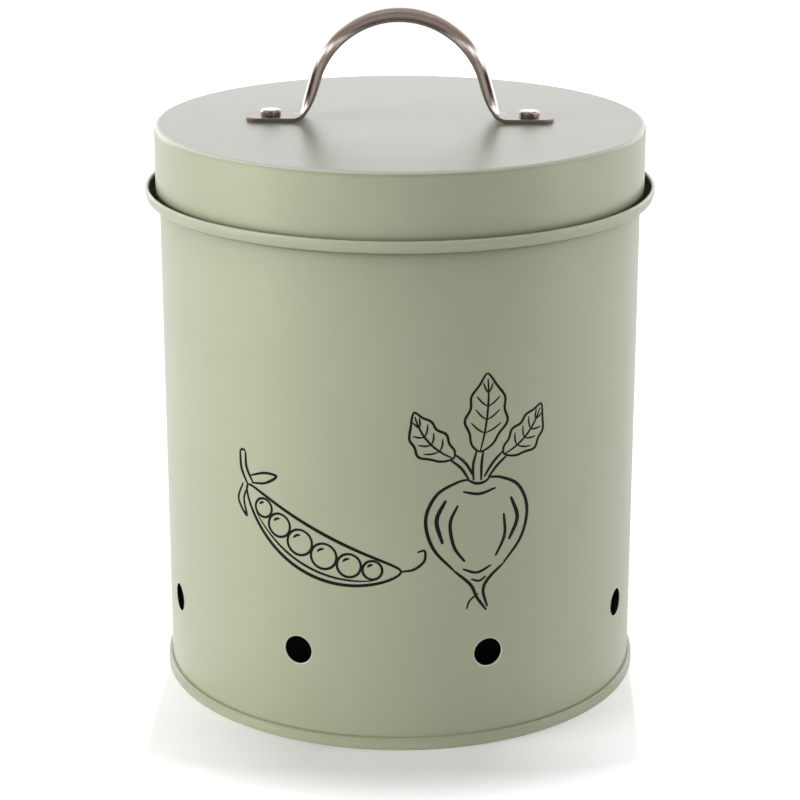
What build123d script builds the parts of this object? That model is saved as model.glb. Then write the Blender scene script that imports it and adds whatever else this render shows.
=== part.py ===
from build123d import *
import os
from math import atan2, cos, radians, sin, tan

# Drum canister for vegetables: rolled steel wall with vents, seamed base, gutter collar at the
# mouth, drop-on lid with a riveted strap handle. Millimetres, +Z up, origin at the middle of the
# foot. The front is at -Y and the handle runs along X.

# Sheet stock of the wall, base, neck and lid, and the room that a hole cutter gets at each end
SHEET = 0.5
CUTTER_ROOM = 1.0

# Wall
BODY_RADIUS = 85.0
LEDGE_HEIGHT = 176.8
LEDGE_FALL = 1.4
LEDGE_INNER_BEND = 1.2
LEDGE_OUTER_BEND = 0.8
COLLAR_HEIGHT = 4.0
COLLAR_BEAD_HEIGHT = 2.5
COLLAR_BEAD_THICKNESS = 1.3
COLLAR_BEAD_STANDOUT = 0.4
SEAM_FOLD_WIDTH = 5.0
SEAM_FOLD_THICKNESS = 0.8
SEAM_FOLD_ROUND = 0.4
SEAM_END_CLEARANCE = 3.0

# Vents round the foot of the wall
VENT_COUNT = 8
VENT_DIAMETER = 10.0
VENT_HEIGHT = 33.8

# Base panel and the seam that holds it to the wall
BASE_SEAM_HEIGHT = 4.4
BASE_SEAM_STANDOUT = 1.5
BASE_SEAM_SHOULDER = 1.1
BASE_SEAM_FOOT_ROUND = 0.7
BASE_SEAM_GROOVE_HEIGHT = 3.3
BASE_SEAM_GROOVE_WIDTH = 0.9
BASE_SEAM_GROOVE_DEPTH = 0.15
BASE_PRESS_BEND = 1.0
BASE_RECESS = 3.0
BASE_STEP_HEIGHT = 1.0
BASE_STEP_WIDTH = 2.0
BASE_STEP_INSET = 11.0

# Neck ring inside the mouth
NECK_LAP = 10.0
NECK_RISE = 17.5
NECK_HEM_DEPTH = 2.4

# Lid
LID_HEIGHT = 26.0
LID_CORNER_RADIUS = 1.6
LID_HEM_DEPTH = 2.4
LID_NECK_CLEARANCE = 0.8
LID_SEAT_GAP = 0.3
GUTTER_GAP = 2.4

# Strap handle
STRAP_WIDTH = 14.4
STRAP_THICKNESS = 1.4
STRAP_RISE = 39.5
STRAP_CHANNEL_ANGLE = 62.0
STRAP_LEG_ANGLE = 74.0
STRAP_BEND_RADIUS = 4.2
STRAP_FOOT_END = 8.5
STRAP_FOOT_CORNER = 4.5
STRAP_FADE_LAG = 1.7
STRAP_FADE_STEPS = 24

# Rivets and their burrs
RIVET_SPACING = 91.0
RIVET_SETBACK = 7.0
RIVET_SHANK_DIAMETER = 4.0
RIVET_HEAD_DIAMETER = 7.4
RIVET_HEAD_HEIGHT = 2.1
RIVET_HEAD_ROUND = 0.9
RIVET_TAIL_DIAMETER = 5.8
RIVET_TAIL_HEIGHT = 0.9
RIVET_TAIL_ROUND = 0.4
WASHER_DIAMETER = 9.0
WASHER_THICKNESS = 0.6
WASHER_CHAMFER = 0.15

# Fits that follow from the sizes above
wall_inner_radius = BODY_RADIUS - SHEET
neck_inner_radius = wall_inner_radius - SHEET
lid_hem_inner_radius = wall_inner_radius + LID_NECK_CLEARANCE
lid_radius = lid_hem_inner_radius + 2 * SHEET
collar_bead_radius = lid_radius + GUTTER_GAP + COLLAR_BEAD_THICKNESS
collar_top = LEDGE_HEIGHT + COLLAR_HEIGHT
wall_bottom = SHEET
neck_bottom = LEDGE_HEIGHT - LEDGE_FALL - LEDGE_INNER_BEND - NECK_LAP
neck_top = LEDGE_HEIGHT + SHEET + NECK_RISE

# Middle line of the sheet in the wall, the ledge and the collar
wall_line = BODY_RADIUS - SHEET / 2
collar_line = collar_bead_radius - COLLAR_BEAD_STANDOUT - SHEET / 2
ledge_line_top = LEDGE_HEIGHT + SHEET / 2
ledge_slope = atan2(LEDGE_FALL, collar_line - wall_line)

# The half-round edge of the lid lies one seat gap off the sloped ledge
lid_edge_radius = lid_radius - SHEET
lid_edge_level = ledge_line_top - (collar_line - lid_edge_radius) * tan(ledge_slope)
lid_bottom = lid_edge_level + (1.5 * SHEET + LID_SEAT_GAP) / cos(ledge_slope) - SHEET
lid_top = lid_bottom + LID_HEIGHT
rivet_x = RIVET_SPACING / 2


def turned(profile: Sketch) -> Part:
    """Revolve a profile drawn as (radius, height) once round the Z axis."""
    return revolve(Plane.XZ * profile, Axis.Z)


def drill(diameter: float, depth: float) -> Part:
    """Cutter for a hole through a depth of metal, centred on that depth."""
    return Cylinder(diameter / 2, depth + 2 * CUTTER_ROOM)


def hemmed_edge(inner: float, top: float, depth: float) -> Sketch:
    """Section of a folded sheet edge: two sheets thick with a half-round top."""
    lower = top - depth
    upper = top - SHEET
    lip = Rectangle(2 * SHEET, upper - lower, align=(Align.MIN, Align.MIN))
    return Pos(inner, lower) * lip + Pos(inner + SHEET, upper) * Circle(SHEET)


def make_body_wall() -> Part:
    """Rolled wall with its sloped ledge, upturned collar, side seam fold and vents."""
    sheet_line = FilletPolyline(
        (wall_line, wall_bottom),
        (wall_line, ledge_line_top - LEDGE_FALL),
        (collar_line, ledge_line_top),
        (collar_line, collar_top - COLLAR_BEAD_HEIGHT / 2),
        radius=[LEDGE_INNER_BEND, LEDGE_OUTER_BEND],
    )
    profile = trace(sheet_line, line_width=SHEET)

    # The collar ends in a rolled bead, pressed flat, that stands proud on both sides
    bead = SlotOverall(COLLAR_BEAD_HEIGHT, COLLAR_BEAD_THICKNESS, rotation=90)
    bead_middle = collar_bead_radius - COLLAR_BEAD_THICKNESS / 2
    profile += Pos(bead_middle, collar_top - COLLAR_BEAD_HEIGHT / 2) * bead
    wall = turned(profile)

    # The side seam is folded to the inside, at the back
    fold_bottom = BASE_RECESS + BASE_STEP_HEIGHT + SEAM_END_CLEARANCE
    fold_top = neck_bottom - SEAM_END_CLEARANCE
    fold = Box(
        SEAM_FOLD_WIDTH,
        SEAM_FOLD_THICKNESS + SHEET / 2,
        fold_top - fold_bottom,
        align=(Align.CENTER, Align.MAX, Align.MIN),
    )
    inner_corners = fold.edges().filter_by(Axis.Z).group_by(Axis.Y)[0]
    wall += Pos(0, wall_line, fold_bottom) * fillet(inner_corners, SEAM_FOLD_ROUND)

    vent = Rot(90, 0, 0) * drill(VENT_DIAMETER, SHEET)
    step = 360 / VENT_COUNT
    for index in range(VENT_COUNT):
        turn = Rot(0, 0, (index + 0.5) * step)
        wall -= turn * Pos(0, -wall_line, VENT_HEIGHT) * vent
    return wall


def make_base_panel() -> Part:
    """Pressed bottom: stepped panel, chuck wall and the seam curled round the wall's foot."""
    seam_outer = BODY_RADIUS + BASE_SEAM_STANDOUT
    panel_level = BASE_RECESS + SHEET / 2
    step_outer = neck_inner_radius - BASE_STEP_INSET
    panel_line = FilletPolyline(
        (0, panel_level + BASE_STEP_HEIGHT),
        (step_outer - BASE_STEP_WIDTH, panel_level + BASE_STEP_HEIGHT),
        (step_outer, panel_level),
        (wall_inner_radius - SHEET / 2, panel_level),
        (wall_inner_radius - SHEET / 2, wall_bottom / 2),
        radius=BASE_PRESS_BEND,
    )
    profile = trace(panel_line, line_width=SHEET)

    # Foot web under the wall, then the outer layers of the seam
    web = Rectangle(seam_outer - neck_inner_radius, wall_bottom, align=(Align.MIN, Align.MIN))
    wrap = Rectangle(BASE_SEAM_STANDOUT, BASE_SEAM_HEIGHT, align=(Align.MIN, Align.MIN))
    seam = Pos(neck_inner_radius, 0) * web + Pos(BODY_RADIUS, 0) * wrap
    for corner, round_radius in ((0, BASE_SEAM_FOOT_ROUND), (-1, BASE_SEAM_SHOULDER)):
        outer_corners = seam.vertices().group_by(Axis.X)[-1].sort_by(Axis.Y)
        seam = fillet(outer_corners[corner], round_radius)

    # The roller leaves a shallow groove, an arc of the given width and depth
    groove_radius = ((BASE_SEAM_GROOVE_WIDTH / 2) ** 2 + BASE_SEAM_GROOVE_DEPTH**2) / (
        2 * BASE_SEAM_GROOVE_DEPTH
    )
    groove_middle = seam_outer - BASE_SEAM_GROOVE_DEPTH + groove_radius
    seam -= Pos(groove_middle, BASE_SEAM_GROOVE_HEIGHT) * Circle(groove_radius)
    return turned(profile + seam)


def make_neck_ring() -> Part:
    """Strip welded inside the mouth, standing up into the lid with its edge folded inwards."""
    strip = Rectangle(SHEET, neck_top - SHEET - neck_bottom, align=(Align.MIN, Align.MIN))
    profile = Pos(neck_inner_radius, neck_bottom) * strip
    profile += hemmed_edge(neck_inner_radius - SHEET, neck_top, NECK_HEM_DEPTH)
    return turned(profile)


def make_lid_cap() -> Part:
    """Drawn lid: flat top, rounded corner, straight skirt with its edge folded inwards."""
    sheet_line = FilletPolyline(
        (0, lid_top - SHEET / 2),
        (lid_radius - SHEET / 2, lid_top - SHEET / 2),
        (lid_radius - SHEET / 2, lid_bottom + SHEET),
        radius=LID_CORNER_RADIUS - SHEET / 2,
    )
    profile = trace(sheet_line, line_width=SHEET)
    hem = hemmed_edge(lid_hem_inner_radius, lid_top, LID_HEM_DEPTH)
    profile += mirror(Pos(0, -lid_top) * hem, about=Plane.XZ).moved(Pos(0, lid_bottom))
    lid = turned(profile)
    for x in (-rivet_x, rivet_x):
        lid -= Pos(x, 0, lid_top - SHEET / 2) * drill(RIVET_SHANK_DIAMETER, SHEET)
    return lid


def strap_section(half_angle: float, plane: Plane) -> Face:
    """Cross-section of the strap: flat at zero angle, else a channel of the same sheet width."""
    half_thickness = STRAP_THICKNESS / 2
    half_width = STRAP_WIDTH / 2
    edges = []
    for offset_out in (half_thickness, -half_thickness):
        if half_angle == 0:
            edges.append(Line((-half_width, offset_out), (half_width, offset_out)))
            continue
        mean_radius = half_width / radians(half_angle)
        radius = mean_radius + offset_out
        side = radius * sin(radians(half_angle))
        level = radius * cos(radians(half_angle)) - mean_radius
        edges.append(ThreePointArc((-side, level), (0, offset_out), (side, level)))
    outer, inner = edges
    outline = [outer, Line(outer @ 1, inner @ 1), inner, Line(inner @ 0, outer @ 0)]
    return (plane * make_face(outline)).face()


def make_handle_strap() -> Part:
    """Bent strap: channelled arch and legs that flatten through the bends into the feet."""
    leg_angle = radians(STRAP_LEG_ANGLE)
    foot_level = lid_top + STRAP_THICKNESS / 2
    crown_level = lid_top + STRAP_RISE - STRAP_THICKNESS / 2
    foot_start = rivet_x - RIVET_SETBACK
    rise = crown_level - foot_level

    # The arch is as wide as the rise, the lean of the legs and the bends leave room for
    drop = 1 - cos(leg_angle)
    radii_sum = (foot_start - rise / tan(leg_angle)) / (sin(leg_angle) - drop / tan(leg_angle))
    arch_radius = radii_sum - STRAP_BEND_RADIUS
    arch_level = crown_level - arch_radius
    bend_level = foot_level + STRAP_BEND_RADIUS

    def plane_at(x: float, z: float, angle: float) -> Plane:
        """Plane across the strap, where its tangent dips by the angle and its crown faces out."""
        return Plane(origin=(x, 0, z), x_dir=(0, 1, 0), z_dir=(cos(angle), 0, -sin(angle)))

    def arch_plane(angle: float) -> Plane:
        """Plane across the arch at an angle from its crown."""
        return plane_at(arch_radius * sin(angle), arch_level + arch_radius * cos(angle), angle)

    def bend_plane(angle: float) -> Plane:
        """Plane across the bend between a leg and its foot."""
        x = foot_start - STRAP_BEND_RADIUS * sin(angle)
        return plane_at(x, bend_level - STRAP_BEND_RADIUS * cos(angle), angle)

    # The channel fades out over the leg and the bend, most of it near the foot
    leg_top = arch_plane(leg_angle)
    leg_end = bend_plane(leg_angle)
    leg_line = leg_end.origin - leg_top.origin
    leg_run = leg_line.length
    run = leg_run + STRAP_BEND_RADIUS * leg_angle
    sections = []
    for index in range(STRAP_FADE_STEPS + 1):
        share = index / STRAP_FADE_STEPS
        along = share * run
        if along < leg_run:
            middle = leg_top.origin + leg_line * (along / leg_run)
            plane = plane_at(middle.X, middle.Z, leg_angle)
        else:
            plane = bend_plane((run - along) / STRAP_BEND_RADIUS)
        late = share**STRAP_FADE_LAG
        flattening = late * late * (3 - 2 * late)
        sections.append(strap_section(STRAP_CHANNEL_ANGLE * (1 - flattening), plane))
    leg = loft(sections)

    crown_axis = Axis((0, 0, arch_level), (0, 1, 0))
    arch_end = strap_section(STRAP_CHANNEL_ANGLE, arch_plane(-leg_angle))
    arch = revolve(arch_end, crown_axis, 2 * STRAP_LEG_ANGLE)

    foot_length = rivet_x + STRAP_FOOT_END - foot_start
    foot = Box(
        foot_length,
        STRAP_WIDTH,
        STRAP_THICKNESS,
        align=(Align.MIN, Align.CENTER, Align.CENTER),
    )
    corners = foot.edges().filter_by(Axis.Z).group_by(Axis.X)[-1]
    foot = fillet(corners, STRAP_FOOT_CORNER)
    foot = Pos(foot_start, 0, foot_level) * foot
    foot -= Pos(rivet_x, 0, foot_level) * drill(RIVET_SHANK_DIAMETER, STRAP_THICKNESS)

    side = leg + foot
    return arch + side + mirror(side, about=Plane.YZ)


def make_washer() -> Part:
    """Burr under the lid, on the shank of a rivet."""
    blank = Cylinder(WASHER_DIAMETER / 2, WASHER_THICKNESS)
    blank = chamfer(blank.edges().group_by(Axis.Z)[0], WASHER_CHAMFER)
    washer = blank - drill(RIVET_SHANK_DIAMETER, WASHER_THICKNESS)
    return Pos(0, 0, lid_top - SHEET - WASHER_THICKNESS / 2) * washer


def pan(diameter: float, height: float, rim_round: float) -> Part:
    """Pan-shaped rivet end on the XY plane: straight edge, rounded rim and flat top."""
    blank = Cylinder(diameter / 2, height, align=(Align.CENTER, Align.CENTER, Align.MIN))
    return fillet(blank.edges().group_by(Axis.Z)[-1], rim_round)


def make_rivet() -> Part:
    """Pan-headed rivet: head on the strap's foot, shank, and a tail closed on the burr."""
    head_level = lid_top + STRAP_THICKNESS
    tail_level = lid_top - SHEET - WASHER_THICKNESS
    shank = Cylinder(
        RIVET_SHANK_DIAMETER / 2,
        head_level - tail_level,
        align=(Align.CENTER, Align.CENTER, Align.MIN),
    )
    head = pan(RIVET_HEAD_DIAMETER, RIVET_HEAD_HEIGHT, RIVET_HEAD_ROUND)
    tail = mirror(pan(RIVET_TAIL_DIAMETER, RIVET_TAIL_HEIGHT, RIVET_TAIL_ROUND), about=Plane.XY)
    return Pos(0, 0, tail_level) * (shank + tail) + Pos(0, 0, head_level) * head


def make_nodes() -> dict[str, Part]:
    """Every piece of the canister by its node name."""
    nodes = {
        "body_wall": make_body_wall(),
        "base_panel": make_base_panel(),
        "neck_ring": make_neck_ring(),
        "lid_cap": make_lid_cap(),
        "handle_strap": make_handle_strap(),
    }
    for side, x in (("left", -rivet_x), ("right", rivet_x)):
        nodes[f"rivet_{side}"] = Pos(x, 0, 0) * make_rivet()
        nodes[f"rivet_washer_{side}"] = Pos(x, 0, 0) * make_washer()
    return nodes


os.makedirs("parts", exist_ok=True)
for name, node in make_nodes().items():
    export_step(node, f"parts/{name}.step")
    print(name, f"{node.volume:.1f} mm3", node.bounding_box())
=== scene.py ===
import logging
from abc import ABC, abstractmethod
from collections.abc import Mapping, Sequence
from dataclasses import dataclass, field, replace
from enum import Enum

import bmesh
import bpy
import numpy as np
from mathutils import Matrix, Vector
from numpy.typing import NDArray


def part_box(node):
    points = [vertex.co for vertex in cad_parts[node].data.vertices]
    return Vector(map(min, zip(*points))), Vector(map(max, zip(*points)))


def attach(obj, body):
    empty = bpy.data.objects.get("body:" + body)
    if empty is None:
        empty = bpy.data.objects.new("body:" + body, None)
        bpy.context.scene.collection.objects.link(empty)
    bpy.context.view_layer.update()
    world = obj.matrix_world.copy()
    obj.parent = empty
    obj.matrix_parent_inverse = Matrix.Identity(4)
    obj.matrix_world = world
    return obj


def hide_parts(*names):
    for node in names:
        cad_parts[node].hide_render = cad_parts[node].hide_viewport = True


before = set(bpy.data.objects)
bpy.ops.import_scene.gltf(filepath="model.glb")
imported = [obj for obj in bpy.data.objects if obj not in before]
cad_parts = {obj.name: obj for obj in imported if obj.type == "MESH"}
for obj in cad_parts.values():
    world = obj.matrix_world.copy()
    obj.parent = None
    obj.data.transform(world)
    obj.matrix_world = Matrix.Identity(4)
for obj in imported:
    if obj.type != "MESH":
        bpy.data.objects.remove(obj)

# Drum canister for vegetables: sage painted steel with vents round the foot, a drop-on lid with a
# brushed strap pull, and line drawings of vegetables printed on the front. Metres, +Z up, origin
# at the middle of the foot, front at -Y. Sizes are written in millimetres times MM.

MM = 0.001
SHEET = 0.5 * MM

# How finely surfaces are cut: steps of a rounded corner, the flat that is held beside it, at most
# this share of a side, columns of a turned piece, and the distance within which points are merged
ARC_STEPS = 8
HOLD = 0.4 * MM
HOLD_SHARE = 0.3
COLUMNS_ROUND = 320
WELD = 0.001 * MM

# Rings of a vent's patch: shares of the way in to the vent, and angles over its rolled lip
VENT_APPROACH = np.array([0.0, 0.35, 0.65, 0.85, 0.96])
VENT_LIP = np.linspace(0, np.pi / 2, 6)

# Points across a flat face of the strap, as shares of its half width, closest at the edges
STRIP_FACE = np.concatenate([[0.97], np.linspace(0.88, -0.88, 15), [-0.97]])

# Refraction of a baked resin, which binds both the powder coat and the ink
RESIN_IOR = 1.5

Points = NDArray[np.float64]
Flags = NDArray[np.bool_]
Socket = bpy.types.NodeSocket
Piece = bpy.types.Object

log = logging.getLogger("canister")
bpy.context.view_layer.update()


# Sections and surfaces


@dataclass(frozen=True)
class Corner:
    """Corner of a section, in metres: distance from the axis, height and rounding."""

    out: float
    up: float
    round: float = 0.0


@dataclass(frozen=True)
class Reach:
    """Outer radius, foot and top of a round CAD node, in metres."""

    radius: float
    foot: float
    top: float

    @classmethod
    def of(cls, node: str) -> "Reach":
        """Read the reach of a node that stands on the canister's axis from its mesh in model.glb."""
        low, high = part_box(node)
        return cls(radius=high.x, foot=low.z, top=high.z)


def rounded_section(corners: Sequence[Corner]) -> Points:
    """Work out the outline of a section with its corners rounded.

    A rounded corner is the arc that touches both its sides. It starts at its rounding over the
    tangent of half the corner's angle from the corner, and its centre lies at its rounding over
    the sine of that half angle, on the line that halves the corner. A further row stands just
    outside each end of an arc, so that the flat beside it shades flat.

    Args:
        corners: the corners in order; the first and the last are neighbours too.

    Returns:
        Rows of (distance from the axis, height).
    """
    spots = np.array([(corner.out, corner.up) for corner in corners])
    rounds = np.array([corner.round for corner in corners])
    to_next = np.roll(spots, -1, axis=0) - spots
    run = np.linalg.norm(to_next, axis=1)
    ahead = to_next / run[:, None]
    back = -np.roll(ahead, 1, axis=0)
    half = np.arccos(np.clip((ahead * back).sum(axis=1), -1, 1)) / 2
    reach = rounds / np.tan(half)
    hold = np.minimum(HOLD, HOLD_SHARE * (run - reach - np.roll(reach, -1)))
    hold_back = np.roll(hold, 1)
    share = np.linspace(0, 1, ARC_STEPS + 1)[:, None]
    rows = []
    for i, spot in enumerate(spots):
        if rounds[i] == 0:
            rows.append(spot[None])
            continue
        turn = np.pi - 2 * half[i]
        middle = ahead[i] + back[i]
        centre = spot + middle / np.linalg.norm(middle) * rounds[i] / np.sin(half[i])
        start = spot + back[i] * reach[i]
        end = spot + ahead[i] * reach[i]
        mixed = np.sin((1 - share) * turn) * (start - centre) + np.sin(share * turn) * (end - centre)
        rows.append(start[None] + back[i] * hold_back[i])
        rows.append(centre + mixed / np.sin(turn))
        rows.append(end[None] + ahead[i] * hold[i])
    return np.concatenate(rows)


def turned(section: Points, angles: Points) -> Points:
    """Turn a section round the Z axis.

    Distance r and height z of a section row give (r sin a, -r cos a, z) at the angle a, which is
    zero at the front.

    Args:
        section: rows of (distance from the axis, height).
        angles: the angles of the columns, in radians.

    Returns:
        Grid of points, one row for each section row and one column for each angle.
    """
    out = section[:, :1]
    up = np.broadcast_to(section[:, 1:], (len(section), len(angles)))
    return np.stack([out * np.sin(angles), -out * np.cos(angles), up], axis=-1)


def even_turn(columns: int = COLUMNS_ROUND) -> Points:
    """Evenly spaced angles once round, without the last one."""
    return np.linspace(0, 2 * np.pi, columns, endpoint=False)


def level_run(out: float, low: float, high: float, steps: int) -> list[Corner]:
    """Plain section points up a straight wall, or down it where low is above high."""
    return [Corner(out, float(up)) for up in np.linspace(low, high, steps + 1)]


def eased(share: Points) -> Points:
    """Ease a share in and out: three times its square less twice its cube, within 0 and 1."""
    kept = np.clip(share, 0, 1)
    return kept * kept * (3 - 2 * kept)


def painted_light_and_dullness(thin_and_painted_highlight: Points, painted_shade_and_dullness: Points) -> Points:
    """Give each turned row (painted highlight, painted shade that dulls the film, 0), as shares."""
    return np.stack([thin_and_painted_highlight, painted_shade_and_dullness, np.zeros_like(thin_and_painted_highlight)], axis=-1)[:, None, :]


def strip_loop() -> Points:
    """Work out the loop round a flat strip's section, as shares of its sizes.

    The corners' quarter turns follow each other, with a flat face after the first and the third.
    A point lies at its side times the half width less the rounding, plus its cosine times the
    rounding, and in depth at its face and its sine in the same way.

    Returns:
        Rows of (side, face, cosine, sine).
    """
    quarter = np.linspace(0, np.pi / 2, ARC_STEPS // 2 + 1)
    rows = []
    for number, (side, face) in enumerate(((1, 1), (-1, 1), (-1, -1), (1, -1))):
        turn = quarter + number * np.pi / 2
        ones = np.ones_like(turn)
        rows.append(np.stack([side * ones, face * ones, np.cos(turn), np.sin(turn)], axis=-1))
        if side == face:
            ones = np.ones_like(STRIP_FACE)
            rows.append(np.stack([side * STRIP_FACE, face * ones, 0 * ones, face * ones], axis=-1))
    return np.concatenate(rows)


@dataclass
class Skin:
    """Patches of surface that are joined into one closed mesh, with one layer of vectors."""

    layer: str = "lay"
    points: list[Points] = field(default_factory=list)
    values: list[Points] = field(default_factory=list)
    faces: list[list[int]] = field(default_factory=list)
    count: int = 0

    def add(
        self,
        grid: Points,
        wrap_rows: bool = False,
        wrap_columns: bool = False,
        keep: Flags | None = None,
        values: Points | None = None,
    ) -> None:
        """Add a patch whose points are a grid over two parameters.

        Args:
            grid: rows by columns of points.
            wrap_rows: whether the last row joins the first.
            wrap_columns: whether the last column joins the first.
            keep: which cells of the grid become faces; all of them if left out.
            values: the layer's vector for each point, or one for each row of points.
        """
        rows, columns = grid.shape[:2]
        numbers = self.count + np.arange(rows * columns).reshape(rows, columns)
        self.count += rows * columns
        self.points.append(grid.reshape(-1, 3))
        if values is not None:
            self.values.append(np.broadcast_to(values, grid.shape).reshape(-1, 3))
        ring = np.vstack([numbers, numbers[:1]]) if wrap_rows else numbers
        ring = np.hstack([ring, ring[:, :1]]) if wrap_columns else ring
        cells = np.stack([ring[:-1, :-1], ring[:-1, 1:], ring[1:, 1:], ring[1:, :-1]], axis=-1)
        kept = cells.reshape(-1, 4) if keep is None else cells[keep]
        self.faces.extend(kept.tolist())

    def add_tube(self, grid: Points, values: Points | None = None) -> None:
        """Add a patch whose rows are rings, with one flat face over each end.

        Args:
            grid: rows by columns of points.
            values: the layer's vector for each point.
        """
        rows, columns = grid.shape[:2]
        first = self.count + np.arange(columns)
        self.add(grid, wrap_columns=True, values=values)
        for ring in (first, first + (rows - 1) * columns):
            self.faces.append(ring.tolist())

    def piece(self, name: str) -> Piece:
        """Make the Blender object: doubles merged, faces outwards, smooth shaded.

        Args:
            name: the piece's name.

        Returns:
            The object, at the origin with its place in its mesh.
        """
        mesh = bpy.data.meshes.new(name)
        mesh.from_pydata(np.concatenate(self.points), [], self.faces)
        if self.values:
            layer = mesh.attributes.new(self.layer, "FLOAT_VECTOR", "POINT")
            flat = np.concatenate(self.values).astype(np.float32).ravel()
            layer.data.foreach_set("vector", flat)
        work = bmesh.new()
        work.from_mesh(mesh)
        bmesh.ops.remove_doubles(work, verts=work.verts, dist=WELD)
        bmesh.ops.recalc_face_normals(work, faces=work.faces)
        work.to_mesh(mesh)
        work.free()
        mesh.shade_smooth()
        piece = bpy.data.objects.new(name, mesh)
        bpy.context.scene.collection.objects.link(piece)
        return piece


# Finishes


def linear(code: str) -> tuple[float, float, float, float]:
    """Turn an sRGB hex colour to the linear values that a shader takes, by the standard's curve.

    Args:
        code: six hex digits after a hash.

    Returns:
        Linear red, green and blue, and an alpha of 1.
    """
    parts = np.array([int(code[i : i + 2], 16) for i in (1, 3, 5)]) / 255
    low = parts / 12.92
    high = ((parts + 0.055) / 1.055) ** 2.4
    red, green, blue = np.where(parts <= 0.04045, low, high).tolist()
    return red, green, blue, 1.0


def add_node(
    tree: bpy.types.NodeTree,
    kind: str,
    settings: Mapping[str, object] | None = None,
    inputs: Mapping[str | int, object] | None = None,
) -> bpy.types.Node:
    """Add a node with its settings, its input values and its links.

    Args:
        tree: the node tree that takes it.
        kind: the node's type name.
        settings: attributes of the node.
        inputs: for each input by name or number a value, a socket to link, or a node to link by its
            first output.

    Returns:
        The new node.
    """
    node = tree.nodes.new(kind)
    for name, value in (settings or {}).items():
        setattr(node, name, value)
    for name, value in (inputs or {}).items():
        if isinstance(value, bpy.types.Node):
            tree.links.new(value.outputs[0], node.inputs[name])
        elif isinstance(value, Socket):
            tree.links.new(value, node.inputs[name])
        else:
            node.inputs[name].default_value = value
    return node


def bare_tree(owner: bpy.types.Material | bpy.types.World) -> bpy.types.NodeTree:
    """Turn on the nodes of a material or a world, and clear away those that it starts with.

    Args:
        owner: the material or world.

    Returns:
        Its empty node tree.
    """
    owner.use_nodes = True
    owner.node_tree.nodes.clear()
    return owner.node_tree


@dataclass(frozen=True)
class Grain:
    """Uneven pattern of a surface: noise that varies a value and stands up a little.

    The noise has a size in metres, or one along each axis, with a detail and a roughness. Noise
    from low to high gives values from least to most. It stands up by its depth and strength.
    """

    size: float | tuple[float, float, float]
    detail: float
    roughness: float = 0.5
    low: float = 0.0
    high: float = 1.0
    least: float = 0.0
    most: float = 1.0
    depth: float = 0.0
    strength: float = 0.0

    def lay(
        self, tree: bpy.types.NodeTree, place: Socket, under: Socket | None = None
    ) -> tuple[Socket, Socket]:
        """Add the noise, spread it over the grain's values and raise it.

        Args:
            tree: the node tree that takes the nodes.
            place: the socket with the place in the pattern.
            under: the socket with the normal that it is raised on, if not the plain surface's.

        Returns:
            The sockets with the value and with the normal.
        """
        if isinstance(self.size, tuple):
            stretch = [1 / size for size in self.size]
            place = add_node(tree, "ShaderNodeMapping", inputs={"Vector": place, "Scale": stretch})
            scale = 1.0
        else:
            scale = 1 / self.size
        noise = add_node(
            tree,
            "ShaderNodeTexNoise",
            inputs={"Vector": place, "Scale": scale, "Detail": self.detail, "Roughness": self.roughness},
        )
        value = add_node(
            tree,
            "ShaderNodeMapRange",
            inputs={
                "Value": noise,
                "From Min": self.low,
                "From Max": self.high,
                "To Min": self.least,
                "To Max": self.most,
            },
        )
        relief = {"Strength": self.strength, "Distance": self.depth, "Height": noise}
        if under is not None:
            relief["Normal"] = under
        raised = add_node(tree, "ShaderNodeBump", inputs=relief)
        return value.outputs[0], raised.outputs[0]


class Finish(ABC):
    """A surface finish that becomes one node material."""

    name: str

    def material(self) -> bpy.types.Material:
        """Give the finish's material, made the first time that it is asked for.

        Returns:
            The material, which all pieces with this finish share.
        """
        found = bpy.data.materials.get(self.name)
        if found is not None:
            return found
        made = bpy.data.materials.new(self.name)
        tree = bare_tree(made)
        add_node(tree, "ShaderNodeOutputMaterial", inputs={"Surface": self.shade(tree)})
        return made

    @abstractmethod
    def shade(self, tree: bpy.types.NodeTree) -> Socket:
        """Build the finish's nodes and give the socket that the surface takes."""


def rolled(*sizes: float) -> Grain:
    """Faint lines of a rolled sheet, with their sizes along X, Y and Z in metres."""
    return Grain(
        sizes, detail=3.0, low=0.3, high=0.7, least=0.42, most=0.52, depth=0.05 * MM, strength=0.10
    )


class Rolling(Enum):
    """Lines of the rolled sheet, by the way they run. Each one's grain gives the roughness."""

    ALONG_X = rolled(9.0 * MM, 0.7 * MM, 0.7 * MM)
    ROUND_WALL = rolled(2.4 * MM, 2.4 * MM, 0.8 * MM)


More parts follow.
